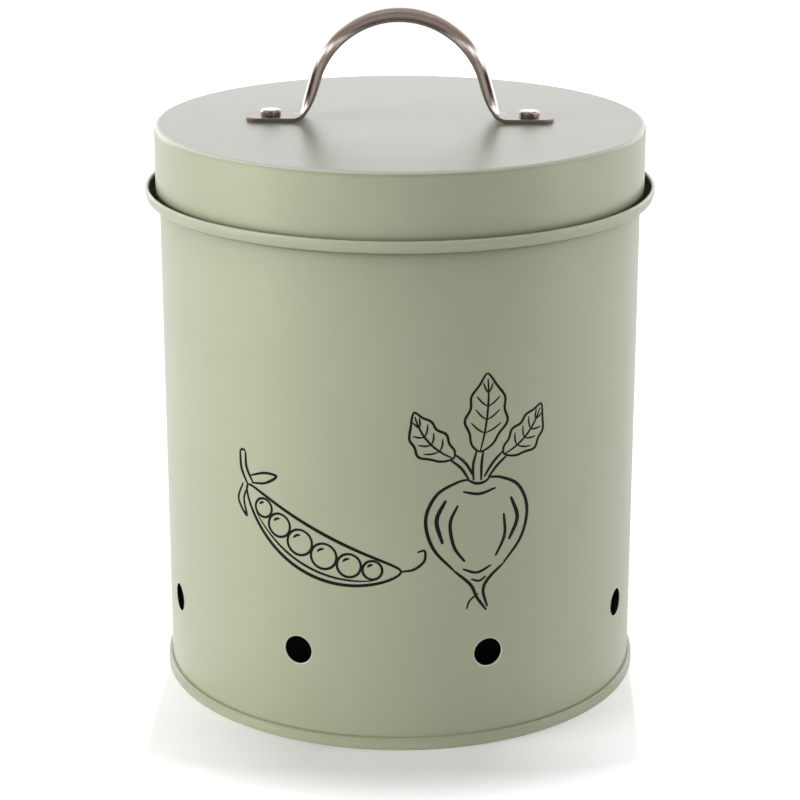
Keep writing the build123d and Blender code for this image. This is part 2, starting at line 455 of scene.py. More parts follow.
@dataclass(frozen=True)
class SatinPowderCoat(Finish):
    """Polyester powder coat on sheet steel, sprayed dry and baked.

    It melts to a thin even film with a fine orange peel, so that it is satin from in front and
    throws back a pale sheen at a low angle. The rolled sheet shows through as faint lines. A near
    white is painted on edges as a painted highlight, and a dark green in deep corners and inside
    as painted shade, where the film is also dull and without its gloss. A vector layer says where.
    """

    name: str
    rolling: Rolling
    color: str = "#A6AB8F"
    color_deep: str = "#A0A689"
    # Near white painted on edges as a painted highlight, dark green painted as painted shade
    color_thin_and_painted_highlight: str = "#F1EEE4"
    color_painted_shade: str = "#4F5243"
    sheen_roughness: float = 0.30
    clouds: Grain = Grain(42.0 * MM, detail=2.0)
    specks: Grain = Grain(0.45 * MM, detail=3.0, most=0.45)
    tone_low: float = 0.45
    tone_high: float = 1.0
    peel: Grain = Grain(1.1 * MM, detail=2.0, depth=0.06 * MM, strength=0.18)

    def shade(self, tree: bpy.types.NodeTree) -> Socket:
        """Lay the film: painted highlight and shade in its colour, dull where the shade is painted.

        Args:
            tree: the material's node tree.

        Returns:
            The socket that the surface takes.
        """
        place = add_node(tree, "ShaderNodeTexCoord").outputs["Object"]
        state = add_node(tree, "ShaderNodeAttribute", {"attribute_name": "painted_light_and_dullness"})
        shares = add_node(tree, "ShaderNodeSeparateXYZ", inputs={0: state.outputs["Vector"]})
        # X is the painted highlight's share, Y the painted shade's, which also dulls the film
        thin_and_painted_highlight, painted_shade_and_dullness = shares.outputs["X"], shares.outputs["Y"]
        satin, drawn = self.rolling.value.lay(tree, place)
        skin = self.peel.lay(tree, place, drawn)[1]
        rough = add_node(tree, "ShaderNodeMath", {"operation": "MAXIMUM"}, {0: satin, 1: painted_shade_and_dullness})
        gloss = add_node(tree, "ShaderNodeMath", {"operation": "SUBTRACT"}, {0: 1.0, 1: painted_shade_and_dullness})
        coat = add_node(
            tree,
            "ShaderNodeBsdfPrincipled",
            inputs={
                "Base Color": self.tint(tree, place, thin_and_painted_highlight, painted_shade_and_dullness),
                "Roughness": rough,
                "IOR": RESIN_IOR,
                "Coat Weight": gloss,
                "Coat Roughness": self.sheen_roughness,
                "Coat IOR": RESIN_IOR,
                "Normal": skin,
                "Coat Normal": skin,
            },
        )
        return coat.outputs[0]

    def tint(self, tree: bpy.types.NodeTree, place: Socket, thin_and_painted_highlight: Socket, painted_shade_and_dullness: Socket) -> Socket:
        """Mix clouds and specks into the tone, then the painted highlight and painted shade over it.

        Args:
            tree: the material's node tree.
            place: the socket with the place on the piece.
            thin_and_painted_highlight: the socket with the share of the painted highlight.
            painted_shade_and_dullness: the socket with the share of the painted shade.

        Returns:
            The socket with the colour.
        """
        clouds = self.clouds.lay(tree, place)[0]
        specks = self.specks.lay(tree, place)[0]
        tone = add_node(tree, "ShaderNodeMath", {"operation": "ADD"}, {0: clouds, 1: specks})
        spread = add_node(
            tree,
            "ShaderNodeMapRange",
            inputs={"Value": tone, "From Min": self.tone_low, "From Max": self.tone_high},
        )
        color = add_node(
            tree,
            "ShaderNodeMix",
            {"data_type": "RGBA"},
            {"Factor": spread, 6: linear(self.color_deep), 7: linear(self.color)},
        )
        for share, over in ((thin_and_painted_highlight, self.color_thin_and_painted_highlight), (painted_shade_and_dullness, self.color_painted_shade)):
            color = add_node(
                tree,
                "ShaderNodeMix",
                {"data_type": "RGBA"},
                {"Factor": share, 6: color.outputs[2], 7: linear(over)},
            )
        return color.outputs[2]


@dataclass(frozen=True)
class BrushedStainless(Finish):
    """Stainless strip, ground on a belt along its length before it was bent.

    The belt leaves fine parallel lines along the strip, so that lights smear across it, with a few
    deeper scratches. The grain follows the strip through its bends. The feet's reflection at a flat
    angle is tinted darker as painted shade, up to a height over which this fades out.
    """

    name: str = "brushed_stainless_strip"
    color: str = "#C2BBB8"
    color_scratch: str = "#9B9088"
    lines: Grain = Grain(
        (0.22 * MM, 16.0 * MM, 0.22 * MM),
        detail=4.0,
        low=0.3,
        high=0.7,
        least=0.13,
        most=0.25,
        depth=0.02 * MM,
        strength=0.35,
    )
    scratches: Grain = Grain(
        (0.9 * MM, 30.0 * MM, 0.9 * MM), detail=5.0, roughness=0.7, low=0.55, high=0.75
    )
    # Painted shade on the feet: their reflection at a flat angle is tinted darker below a height
    foot_painted_shade: float = 0.60
    foot_shade_below: float = 204.5 * MM
    foot_shade_fade: float = 4.0 * MM

    def shade(self, tree: bpy.types.NodeTree) -> Socket:
        """Stretch noise along the strip for the belt lines and the scratches.

        Args:
            tree: the material's node tree.

        Returns:
            The socket that the surface takes.
        """
        lay = add_node(tree, "ShaderNodeAttribute", {"attribute_name": "lay"}).outputs["Vector"]
        rough, relief = self.lines.lay(tree, lay)
        worn = self.scratches.lay(tree, lay)[0]
        color = add_node(
            tree,
            "ShaderNodeMix",
            {"data_type": "RGBA"},
            {"Factor": worn, 6: linear(self.color), 7: linear(self.color_scratch)},
        )
        # Painted shade: the reflection is tinted darker below the feet's height, fading out above it
        place = add_node(tree, "ShaderNodeTexCoord").outputs["Object"]
        parts = add_node(tree, "ShaderNodeSeparateXYZ", inputs={0: place})
        shine = add_node(
            tree,
            "ShaderNodeMapRange",
            inputs={
                "Value": parts.outputs["Z"],
                "From Min": self.foot_shade_below,
                "From Max": self.foot_shade_below + self.foot_shade_fade,
                "To Min": self.foot_painted_shade,
                "To Max": 1.0,
            },
        )
        steel = add_node(
            tree,
            "ShaderNodeBsdfPrincipled",
            inputs={
                "Base Color": color.outputs[2],
                "Metallic": 1.0,
                "Roughness": rough,
                "Specular Tint": shine,
                "Normal": relief,
            },
        )
        return steel.outputs[0]


@dataclass(frozen=True)
class SetRivetSteel(Finish):
    """Bright steel wire, headed and then closed by a hand-held snap.

    The head is nearly polished, with shallow uneven dents from the snap that break up what it
    mirrors.
    """

    name: str = "bright_steel_rivet"
    color: str = "#D2CECA"
    dents: Grain = Grain(1.7 * MM, detail=1.0, depth=0.5 * MM, strength=0.8)
    pits: Grain = Grain(0.30 * MM, detail=3.0, low=0.35, high=0.7, least=0.10, most=0.24)

    def shade(self, tree: bpy.types.NodeTree) -> Socket:
        """Dent the head with broad noise and dull it with fine pits.

        Args:
            tree: the material's node tree.

        Returns:
            The socket that the surface takes.
        """
        place = add_node(tree, "ShaderNodeTexCoord").outputs["Object"]
        rough = self.pits.lay(tree, place)[0]
        dented = self.dents.lay(tree, place)[1]
        steel = add_node(
            tree,
            "ShaderNodeBsdfPrincipled",
            inputs={
                "Base Color": linear(self.color),
                "Metallic": 1.0,
                "Roughness": rough,
                "Normal": dented,
            },
        )
        return steel.outputs[0]


@dataclass(frozen=True)
class ZincPlate(Finish):
    """Stamped steel washer, barrel plated with zinc.

    Tumbling in the barrel leaves it soft grey, with small bright and dull spangles.
    """

    name: str = "zinc_plated_washer"
    color: str = "#A9ACAE"
    color_dull: str = "#8B8E8C"
    roughness_low: float = 0.28
    roughness_high: float = 0.5
    spangle_size: float = 0.8 * MM

    def shade(self, tree: bpy.types.NodeTree) -> Socket:
        """Break the plating into cells of differing brightness.

        Args:
            tree: the material's node tree.

        Returns:
            The socket that the surface takes.
        """
        place = add_node(tree, "ShaderNodeTexCoord").outputs["Object"]
        cells = add_node(
            tree, "ShaderNodeTexVoronoi", inputs={"Vector": place, "Scale": 1 / self.spangle_size}
        )
        color = add_node(
            tree,
            "ShaderNodeMix",
            {"data_type": "RGBA"},
            {"Factor": cells.outputs["Distance"], 6: linear(self.color), 7: linear(self.color_dull)},
        )
        rough = add_node(
            tree,
            "ShaderNodeMapRange",
            inputs={
                "Value": cells.outputs["Distance"],
                "To Min": self.roughness_low,
                "To Max": self.roughness_high,
            },
        )
        plate = add_node(
            tree,
            "ShaderNodeBsdfPrincipled",
            inputs={"Base Color": color.outputs[2], "Metallic": 1.0, "Roughness": rough},
        )
        return plate.outputs[0]


@dataclass(frozen=True)
class ScreenInk(Finish):
    """Black enamel ink, pushed through a fine screen and baked on the paint.

    The film is thin and satin, and the screen's threads leave it faintly dimpled.
    """

    name: str = "black_screen_ink"
    color: str = "#0A0A09"
    color_thin_and_painted_highlight: str = "#161613"
    roughness: float = 0.55
    gloss: float = 0.2
    dimples: Grain = Grain(0.25 * MM, detail=2.0, low=0.5, high=0.8, depth=0.02 * MM, strength=0.2)

    def shade(self, tree: bpy.types.NodeTree) -> Socket:
        """Thin the ink a little between the threads of the screen.

        Args:
            tree: the material's node tree.

        Returns:
            The socket that the surface takes.
        """
        place = add_node(tree, "ShaderNodeTexCoord").outputs["Object"]
        thin_and_painted_highlight, dimpled = self.dimples.lay(tree, place)
        color = add_node(
            tree,
            "ShaderNodeMix",
            {"data_type": "RGBA"},
            {"Factor": thin_and_painted_highlight, 6: linear(self.color), 7: linear(self.color_thin_and_painted_highlight)},
        )
        ink = add_node(
            tree,
            "ShaderNodeBsdfPrincipled",
            inputs={
                "Base Color": color.outputs[2],
                "Roughness": self.roughness,
                "IOR": RESIN_IOR,
                "Specular IOR Level": self.gloss,
                "Normal": dimpled,
            },
        )
        return ink.outputs[0]


WALL_COAT = SatinPowderCoat("sage_powder_coat_wall", Rolling.ROUND_WALL)
LID_COAT = SatinPowderCoat("sage_powder_coat_lid", Rolling.ALONG_X)
STRIP = BrushedStainless()
RIVET_STEEL = SetRivetSteel()
PLATING = ZincPlate()
INK = ScreenInk()


# Sub-assemblies


class SubAssembly(ABC):
    """Pieces that are built together and ride on one body of the canister."""

    body: str

    @abstractmethod
    def build(self) -> list[Piece]:
        """Build the meshes of the sub-assembly's pieces."""

    @abstractmethod
    def dress(self, pieces: list[Piece]) -> None:
        """Give each piece its finish and its place in the frame."""

    def settle(self, piece: Piece, finish: Finish, slot: str, *nodes: str) -> None:
        """Finish a piece, seat it on the body and let it stand for its CAD nodes.

        Args:
            piece: the piece's object.
            finish: the finish that it gets.
            slot: the record's material slot; it is not used.
            nodes: the CAD nodes that it takes the place of, if any.
        """
        piece.data.materials.append(finish.material())
        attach(piece, self.body)
        if nodes:
            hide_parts(*nodes)


@dataclass(frozen=True)
class Ledge:
    """Slope from the collar down to the wall: a point of its middle line, and its angle."""

    out: float
    up: float
    slope: float

    def middle(self, out: float) -> float:
        """Height of the middle line at a distance from the axis."""
        return self.up - (self.out - out) * float(np.tan(self.slope))

    def half_depth(self) -> float:
        """Height between the middle line and either face: half a sheet over the slope's cosine."""
        return SHEET / 2 / float(np.cos(self.slope))


@dataclass
class Drum(SubAssembly):
    """The canister without its lid: wall with collar and vents, base and neck ring.

    The painted light's fields say how strong a painted highlight lies on crest and vents, and how
    strong a painted shade lies behind the gutter, in the corner under the ledge and inside, and how
    far each of these spreads or fades. The wall's plain rows keep its faces short, and its closer
    rows under the ledge carry the corner's painted shade.
    """

    body: str = "canister"
    radius: float = 85.0 * MM
    ledge_height: float = 176.8 * MM
    ledge_fall: float = 1.4 * MM
    ledge_inner_bend: float = 1.2 * MM
    ledge_outer_bend: float = 0.8 * MM
    bead_height: float = 2.5 * MM
    bead_thickness: float = 1.3 * MM
    bead_standout: float = 0.4 * MM
    bead_blend: float = 0.5 * MM
    bead_blend_round: float = 1.0 * MM
    plain_low: float = 83.6 * MM
    plain_high: float = 125.4 * MM
    # Closer rows under the ledge that carry the corner's painted shade
    painted_shade_far: float = 25.0 * MM
    painted_shade_near: float = 2.0 * MM
    painted_shade_rows: int = 12
    # Painted highlight along the bead's crest
    crest_painted_highlight: float = 0.5
    crest_spread: float = 0.45 * MM
    vent_count: int = 8
    vent_diameter: float = 10.0 * MM
    vent_height: float = 33.8 * MM
    vent_patch_half: float = 8.0 * MM
    vent_patch_cells: int = 16
    vent_roll: float = 0.30 * MM
    vent_burr: float = 0.08 * MM
    # Painted highlight on the vents' lips
    vent_painted_highlight: float = 0.8
    # Painted shade inside the wall, and in the corner under the ledge fading down the wall
    inside_painted_shade_depth: float = 1.6 * MM
    corner_painted_shade: float = 0.45
    corner_fade: float = 1.2 * MM
    ledge_painted_shade: float = 0.20
    ledge_fade: float = 9.0 * MM
    seam_width: float = 5.0 * MM
    seam_thickness: float = 0.8 * MM
    seam_clearance: float = 3.0 * MM
    base_height: float = 4.4 * MM
    shoulder_round: float = 1.1 * MM
    foot_round: float = 0.7 * MM
    groove_height: float = 3.3 * MM
    groove_width: float = 0.9 * MM
    groove_depth: float = 0.15 * MM
    base_recess: float = 3.0 * MM
    base_step_height: float = 1.0 * MM
    base_step_width: float = 2.0 * MM
    base_step_inset: float = 11.0 * MM
    base_bend: float = 1.0 * MM
    seam_steps: int = 26
    # Painted shade over the whole neck ring
    inside_painted_shade: float = 0.5
    neck_hem_depth: float = 2.4 * MM
    edge_round: float = 0.12 * MM

    def build(self) -> list[Piece]:
        """Build the wall, its side seam, the base panel and the neck ring."""
        return [self.wall(), self.side_seam(), self.base(), self.neck()]

    def dress(self, pieces: list[Piece]) -> None:
        """Paint all four, inside and out.

        Args:
            pieces: the wall, its side seam, the base and the neck ring.
        """
        wall, seam, base, neck = pieces
        self.settle(wall, WALL_COAT, "sage_coat", "body_wall")
        self.settle(seam, WALL_COAT, "sage_coat")
        self.settle(base, WALL_COAT, "sage_coat", "base_panel")
        self.settle(neck, WALL_COAT, "sage_coat", "neck_ring")

    def ledge(self) -> Ledge:
        """Work out the ledge from the collar's middle line and its fall.

        Its middle line lies half a sheet over the ledge's height at the collar's middle line. The
        tangent of its slope is its fall over the distance from there to the wall's middle line.

        Returns:
            The ledge.
        """
        half = SHEET / 2
        collar_line = Reach.of("body_wall").radius - self.bead_standout - half
        slope = np.arctan2(self.ledge_fall, collar_line - self.radius + half)
        return Ledge(collar_line, self.ledge_height + half, float(slope))

    def wall_section(self) -> Points:
        """Work out the wall's section, up the outside, over the bead and down the inside.

        Returns:
            Rows of (distance from the axis, height).
        """
        reach = Reach.of("body_wall")
        ledge = self.ledge()
        face = ledge.half_depth()
        half = SHEET / 2
        inner = self.radius - SHEET
        bead_in = reach.radius - self.bead_thickness
        bead_low = reach.top - self.bead_height
        bead_round = self.bead_thickness / 2
        collar_out = reach.radius - self.bead_standout
        collar_in = collar_out - SHEET
        low = self.vent_height - self.vent_patch_half
        high = self.vent_height + self.vent_patch_half
        under = ledge.middle(self.radius)
        return rounded_section(
            [
                Corner(inner, reach.foot, self.edge_round),
                Corner(self.radius, reach.foot, self.edge_round),
                *level_run(self.radius, low, high, self.vent_patch_cells),
                *level_run(self.radius, self.plain_low, self.plain_high, 1),
                *level_run(
                    self.radius, under - self.painted_shade_far, under - self.painted_shade_near, self.painted_shade_rows
                ),
                Corner(self.radius, under - face, self.ledge_inner_bend - half),
                Corner(collar_out, ledge.middle(collar_out) - face, self.ledge_outer_bend + half),
                Corner(collar_out, bead_low - self.bead_blend, self.bead_blend_round),
                Corner(reach.radius, bead_low + self.bead_blend, self.bead_blend_round),
                Corner(reach.radius, reach.top, bead_round),
                Corner(bead_in, reach.top, bead_round),
                Corner(bead_in, bead_low + self.bead_blend, self.bead_blend_round),
                Corner(collar_in, bead_low - self.bead_blend, self.bead_blend_round),
                Corner(collar_in, ledge.middle(collar_in) + face, self.ledge_outer_bend - half),
                Corner(inner, ledge.middle(inner) + face, self.ledge_inner_bend + half),
                *level_run(inner, self.plain_high, self.plain_low, 1),
                *level_run(inner, high, low, self.vent_patch_cells),
            ]
        )

    def wall_painted_light(self, section: Points) -> Points:
        """Work out where the wall gets its painted highlight and its painted shade.

        A painted highlight lies on the bead's crest, along a bell curve of the depth below the top.
        Painted shade lies inside, from its depth on, and in the corner under the ledge, where two
        exponentials of the depth below it add up, one that fades fast and one that fades slowly.

        Args:
            section: the wall's section.

        Returns:
            The painted light of each row.
        """
        out, up = section.T
        ledge = self.ledge()
        past_top = np.arange(len(section)) > np.argmax(up)
        below_top = Reach.of("body_wall").top - up
        # Painted shade inside and under the ledge, painted highlight on the crest
        inside = past_top * eased(below_top / self.inside_painted_shade_depth)
        below_ledge = np.clip(ledge.middle(self.radius) - ledge.half_depth() - up, 0, None)
        on_wall = ~past_top & (out < self.radius + self.ledge_inner_bend)
        corner = self.corner_painted_shade * np.exp(-below_ledge / self.corner_fade)
        under_ledge = on_wall * (corner + self.ledge_painted_shade * np.exp(-below_ledge / self.ledge_fade))
        crest = self.crest_painted_highlight * np.exp(-((below_top / self.crest_spread) ** 2)) * ~past_top
        return painted_light_and_dullness(crest, inside + under_ledge)

    def wall(self) -> Piece:
        """Build the wall: one turned section, with a vent patch in each cut-out.

        The columns stand evenly over the patch of each vent, and evenly over the rest of its
        sector.

        Returns:
            The wall, with the ledge, the collar, its bead and the vents.
        """
        section = self.wall_section()
        step = 2 * np.pi / self.vent_count
        patch_half = self.vent_patch_half / self.radius
        cells = self.vent_patch_cells
        rest = COLUMNS_ROUND // self.vent_count - cells
        over_patch = np.linspace(-patch_half, patch_half, cells, endpoint=False)
        over_rest = np.linspace(patch_half, step - patch_half, rest, endpoint=False)
        vents = (np.arange(self.vent_count) + 0.5) * step
        angles = (vents[:, None] + np.concatenate([over_patch, over_rest])).ravel()
        in_patch = np.tile(np.arange(cells + rest) < cells, self.vent_count)
        mid_height = (section[:, 1] + np.roll(section[:, 1], -1)) / 2
        in_band = np.abs(mid_height - self.vent_height) < self.vent_patch_half
        skin = Skin("painted_light_and_dullness")
        skin.add(
            turned(section, angles),
            wrap_rows=True,
            wrap_columns=True,
            keep=~(in_band[:, None] & in_patch[None, :]),
            values=self.wall_painted_light(section),
        )
        for vent in vents:
            skin.add(self.vent_patch(vent), wrap_columns=True, values=self.vent_painted_light())
        return skin.piece("canister_wall")

    def vent_painted_light(self) -> Points:
        """Work out the painted light over a vent patch's rings.

        A painted highlight lies on the rolled lip, by the sine of the way over it, and painted
        shade behind it.

        Returns:
            The painted light of each ring.
        """
        ring = np.arange(2 * (VENT_APPROACH.size + VENT_LIP.size))
        over_lip = ring - VENT_APPROACH.size
        on_lip = (over_lip >= 0) & (over_lip < VENT_LIP.size)
        thin_and_painted_highlight = np.where(on_lip, np.sin(np.pi * (over_lip + 1) / (VENT_LIP.size + 1)), 0)
        return painted_light_and_dullness(thin_and_painted_highlight * self.vent_painted_highlight, (over_lip >= VENT_LIP.size).astype(float))

    def vent_patch(self, vent: float) -> Points:
        """Work out the surface between a square cut-out and its vent, on both faces of the wall.

        Each ring of points is mixed from the square's border and the vent's circle, both from the
        same corner on. The rings go from the outer border in to the vent, over its rolled lip,
        through the sheet, and out again to the inner border.

        Args:
            vent: the angle of the vent's middle.

        Returns:
            Grid of points, one row for each ring.
        """
        cells = self.vent_patch_cells
        side = np.linspace(-1, 1, cells, endpoint=False)
        one = np.ones(cells)
        across = np.concatenate([side, one, -side, -one]) * self.vent_patch_half
        up = np.concatenate([-one, side, one, -side]) * self.vent_patch_half
        corner = -3 / 4 * np.pi
        around = np.linspace(corner, corner + 2 * np.pi, 4 * cells, endpoint=False)
        hole = self.vent_diameter / 2
        approach = VENT_APPROACH
        lip = VENT_LIP
        share = np.concatenate([approach, np.ones(2 * len(lip)), approach[::-1]])
        outer = np.full(len(approach), hole + self.vent_roll)
        inner = np.full(len(approach), hole + self.vent_burr)
        roll_in = hole + self.vent_roll * (1 - np.sin(lip))
        roll_out = hole + self.vent_burr * (1 - np.cos(lip))
        reach = np.concatenate([outer, roll_in, roll_out, inner])
        depth = np.concatenate(
            [
                np.zeros(len(approach)),
                self.vent_roll * (1 - np.cos(lip)),
                SHEET - self.vent_burr * (1 - np.sin(lip)),
                np.full(len(approach), SHEET),
            ]
        )
        share, reach, depth = share[:, None], reach[:, None], depth[:, None]
        flat_across = (1 - share) * across + share * reach * np.cos(around)
        flat_up = (1 - share) * up + share * reach * np.sin(around)
        angle = vent + flat_across / self.radius
        out = self.radius - depth
        return np.stack([out * np.sin(angle), -out * np.cos(angle), self.vent_height + flat_up], axis=-1)

    def side_seam(self) -> Piece:
        """Build the folded side seam, a flat rib inside the back of the wall.

        The rib is a rounded outline in plan, carried straight up, and drawn in at both ends.

        Returns:
            The seam.
        """
        foot = self.base_recess + self.base_step_height + self.seam_clearance
        top = Reach.of("neck_ring").foot - self.seam_clearance
        inner = self.radius - SHEET
        half = self.seam_width / 2
        rounding = self.seam_thickness / 2
        plan = rounded_section(
            [
                Corner(-half, inner - self.seam_thickness, rounding),
                Corner(half, inner - self.seam_thickness, rounding),
                Corner(half, inner + SHEET / 2, self.edge_round),
                Corner(-half, inner + SHEET / 2, self.edge_round),
            ]
        )
        heights = np.array([foot, foot + rounding, top - rounding, top])
        draw = np.array([1 - rounding / half, 1.0, 1.0, 1 - rounding / half])
        middle = plan.mean(axis=0)
        flat = middle + (plan - middle) * draw[:, None, None]
        up = np.broadcast_to(heights[:, None, None], (len(heights), len(plan), 1))
        skin = Skin()
        skin.add_tube(np.concatenate([flat, up], axis=-1))
        return skin.piece("side_seam")

    def seam_face(self, radius: float) -> list[Corner]:
        """Work out the outside of the base's seam, from its groove up over its shoulder.

        It is the lesser of two distances at each height: that of the shoulder's arc, and that of
        the arc which the roller leaves as a groove. An arc stands off its centre by the root of its
        radius squared less the height from its centre squared.

        Args:
            radius: the seam's outer radius.

        Returns:
            Plain section points.
        """
        foot = Reach.of("base_panel").foot
        shoulder = self.shoulder_round
        half_groove = self.groove_width / 2
        groove_radius = (half_groove**2 + self.groove_depth**2) / (2 * self.groove_depth)
        groove_low = self.groove_height - half_groove
        share = np.linspace(0, 1, self.seam_steps)
        heights = groove_low + (self.base_height - groove_low) * np.sin(share * np.pi / 2)
        over_shoulder = np.maximum(heights - self.base_height + shoulder, 0)
        over_groove = np.minimum(np.abs(heights - self.groove_height), half_groove)
        shoulder_out = radius - shoulder + np.sqrt(shoulder**2 - over_shoulder**2)
        groove_out = radius - self.groove_depth + groove_radius
        groove_out = groove_out - np.sqrt(groove_radius**2 - over_groove**2)
        rolled = np.minimum(shoulder_out, groove_out)
        return [Corner(float(out), foot + float(up)) for out, up in zip(rolled, heights)]

    def base(self) -> Piece:
        """Build the base: stepped panel, chuck wall and the grooved seam round the foot.

        Returns:
            The base.
        """
        reach = Reach.of("base_panel")
        wall_in = self.radius - SHEET
        chuck_in = wall_in - SHEET
        step_out = chuck_in - self.base_step_inset
        step_in = step_out - self.base_step_width
        low = reach.foot + self.base_recess
        raised = low + self.base_step_height
        top = reach.foot + self.base_height
        half = SHEET / 2
        corners = [
            Corner(0.0, raised),
            Corner(step_in / 2, raised),
            Corner(step_in, raised, self.base_bend),
            Corner(step_out, low, self.base_bend),
            Corner(chuck_in, low, self.base_bend - half),
            Corner(chuck_in, reach.foot, self.edge_round),
            Corner(reach.radius, reach.foot, self.foot_round),
            *self.seam_face(reach.radius),
            Corner(self.radius, top, self.edge_round),
            Corner(self.radius, reach.foot + SHEET),
            Corner(wall_in, reach.foot + SHEET),
            Corner(wall_in, low + SHEET, self.base_bend + half),
            Corner(step_out, low + SHEET, self.base_bend),
            Corner(step_in, raised + SHEET, self.base_bend),
            Corner(step_in / 2, raised + SHEET),
            Corner(0.0, raised + SHEET),
        ]
        section = rounded_section(corners)
        # The inside of the base gets painted shade, which also dulls the film
        inside = (np.arange(len(section)) > len(section) / 2) & (section[:, 0] < wall_in - WELD)
        skin = Skin("painted_light_and_dullness")
        skin.add(
            turned(section, even_turn()),
            wrap_columns=True,
            values=painted_light_and_dullness(np.zeros(len(section)), inside.astype(float)),
        )
        return skin.piece("base_pressing")

    def neck(self) -> Piece:
        """Build the neck ring, a strip with its top edge folded inwards.

        Returns:
            The neck ring.
        """
        reach = Reach.of("neck_ring")
        out = self.radius - SHEET
        middle = out - SHEET
        fold = middle - SHEET
        hem_low = reach.top - self.neck_hem_depth
        corners = [
            Corner(middle, reach.foot, self.edge_round),
            Corner(out, reach.foot, self.edge_round),
            Corner(out, reach.top, SHEET),
            Corner(fold, reach.top, SHEET),
            Corner(fold, hem_low, self.edge_round),
            Corner(middle, hem_low, self.edge_round),
        ]
        section = rounded_section(corners)
        # The whole neck ring gets painted shade, which also dulls the film
        skin = Skin("painted_light_and_dullness")
        skin.add(
            turned(section, even_turn()),
            wrap_rows=True,
            wrap_columns=True,
            values=painted_light_and_dullness(np.zeros(len(section)), np.full(len(section), self.inside_painted_shade)),
        )
        return skin.piece("neck_strip")


@dataclass
class LidCap(SubAssembly):
    """The drawn lid: flat top, rounded corner and a skirt with its edge folded inwards.

    Rings in from the corner, up to their share of the radius, keep the top's faces short.
    """

    body: str = "lid"
    corner_round: float = 1.6 * MM
    ring_reach: float = 0.92
    ring_count: int = 5
    # Painted highlight along the rim's corner, and painted shade inside the lid
    rim_drop: float = 0.25 * MM
    rim_spread: float = 0.32 * MM
    rim_painted_highlight: float = 1.0
    inside_painted_shade: float = 0.5
    hem_depth: float = 2.4 * MM
    edge_round: float = 0.12 * MM

    def build(self) -> list[Piece]:
        """Turn the lid's section round the axis.

        A painted highlight lies on the corner, along a bell curve of the depth from its highest part,
        and painted shade inside.

        Returns:
            The lid alone.
        """
        reach = Reach.of("lid_cap")
        skirt_in = reach.radius - SHEET
        hem_in = skirt_in - SHEET
        hem_top = reach.foot + self.hem_depth
        under = reach.top - SHEET
        rings = np.linspace(0, self.ring_reach, self.ring_count) * reach.radius
        corners = [
            *[Corner(float(out), reach.top) for out in rings],
            Corner(reach.radius, reach.top, self.corner_round),
            Corner(reach.radius, reach.foot, SHEET),
            Corner(hem_in, reach.foot, SHEET),
            Corner(hem_in, hem_top, self.edge_round),
            Corner(skirt_in, hem_top, self.edge_round),
            Corner(skirt_in, under, self.corner_round - SHEET),
            *[Corner(float(out), under) for out in rings[::-1]],
        ]
        section = rounded_section(corners)
        edge = reach.top - section[:, 1]
        on_rim = section[:, 0] > reach.radius - self.corner_round - HOLD
        thin_and_painted_highlight = np.exp(-(((edge - self.rim_drop) / self.rim_spread) ** 2)) * on_rim
        inside = np.arange(len(section)) > np.argmin(section[:, 1])
        skin = Skin("painted_light_and_dullness")
        skin.add(
            turned(section, even_turn()),
            wrap_columns=True,
            values=painted_light_and_dullness(self.rim_painted_highlight * thin_and_painted_highlight * ~inside, self.inside_painted_shade * inside),
        )
        return [skin.piece("lid_pressing")]

    def dress(self, pieces: list[Piece]) -> None:
        """Paint the lid, inside and out."""
        self.settle(pieces[0], LID_COAT, "sage_coat", "lid_cap")


@dataclass(frozen=True)
class StripPath:
    """Middle line of the bent strap, by points from its left tip to its right one.

    Each point has its distance from the crown along the strip, its place out from the middle, its
    level, and the angle by which the strip dips there. The arc, the bend and the strip end at the
    last three distances.
    """

    along: Points
    out: Points
    level: Points
    dip: Points
    arc_end: float
    bend_end: float
    tip: float


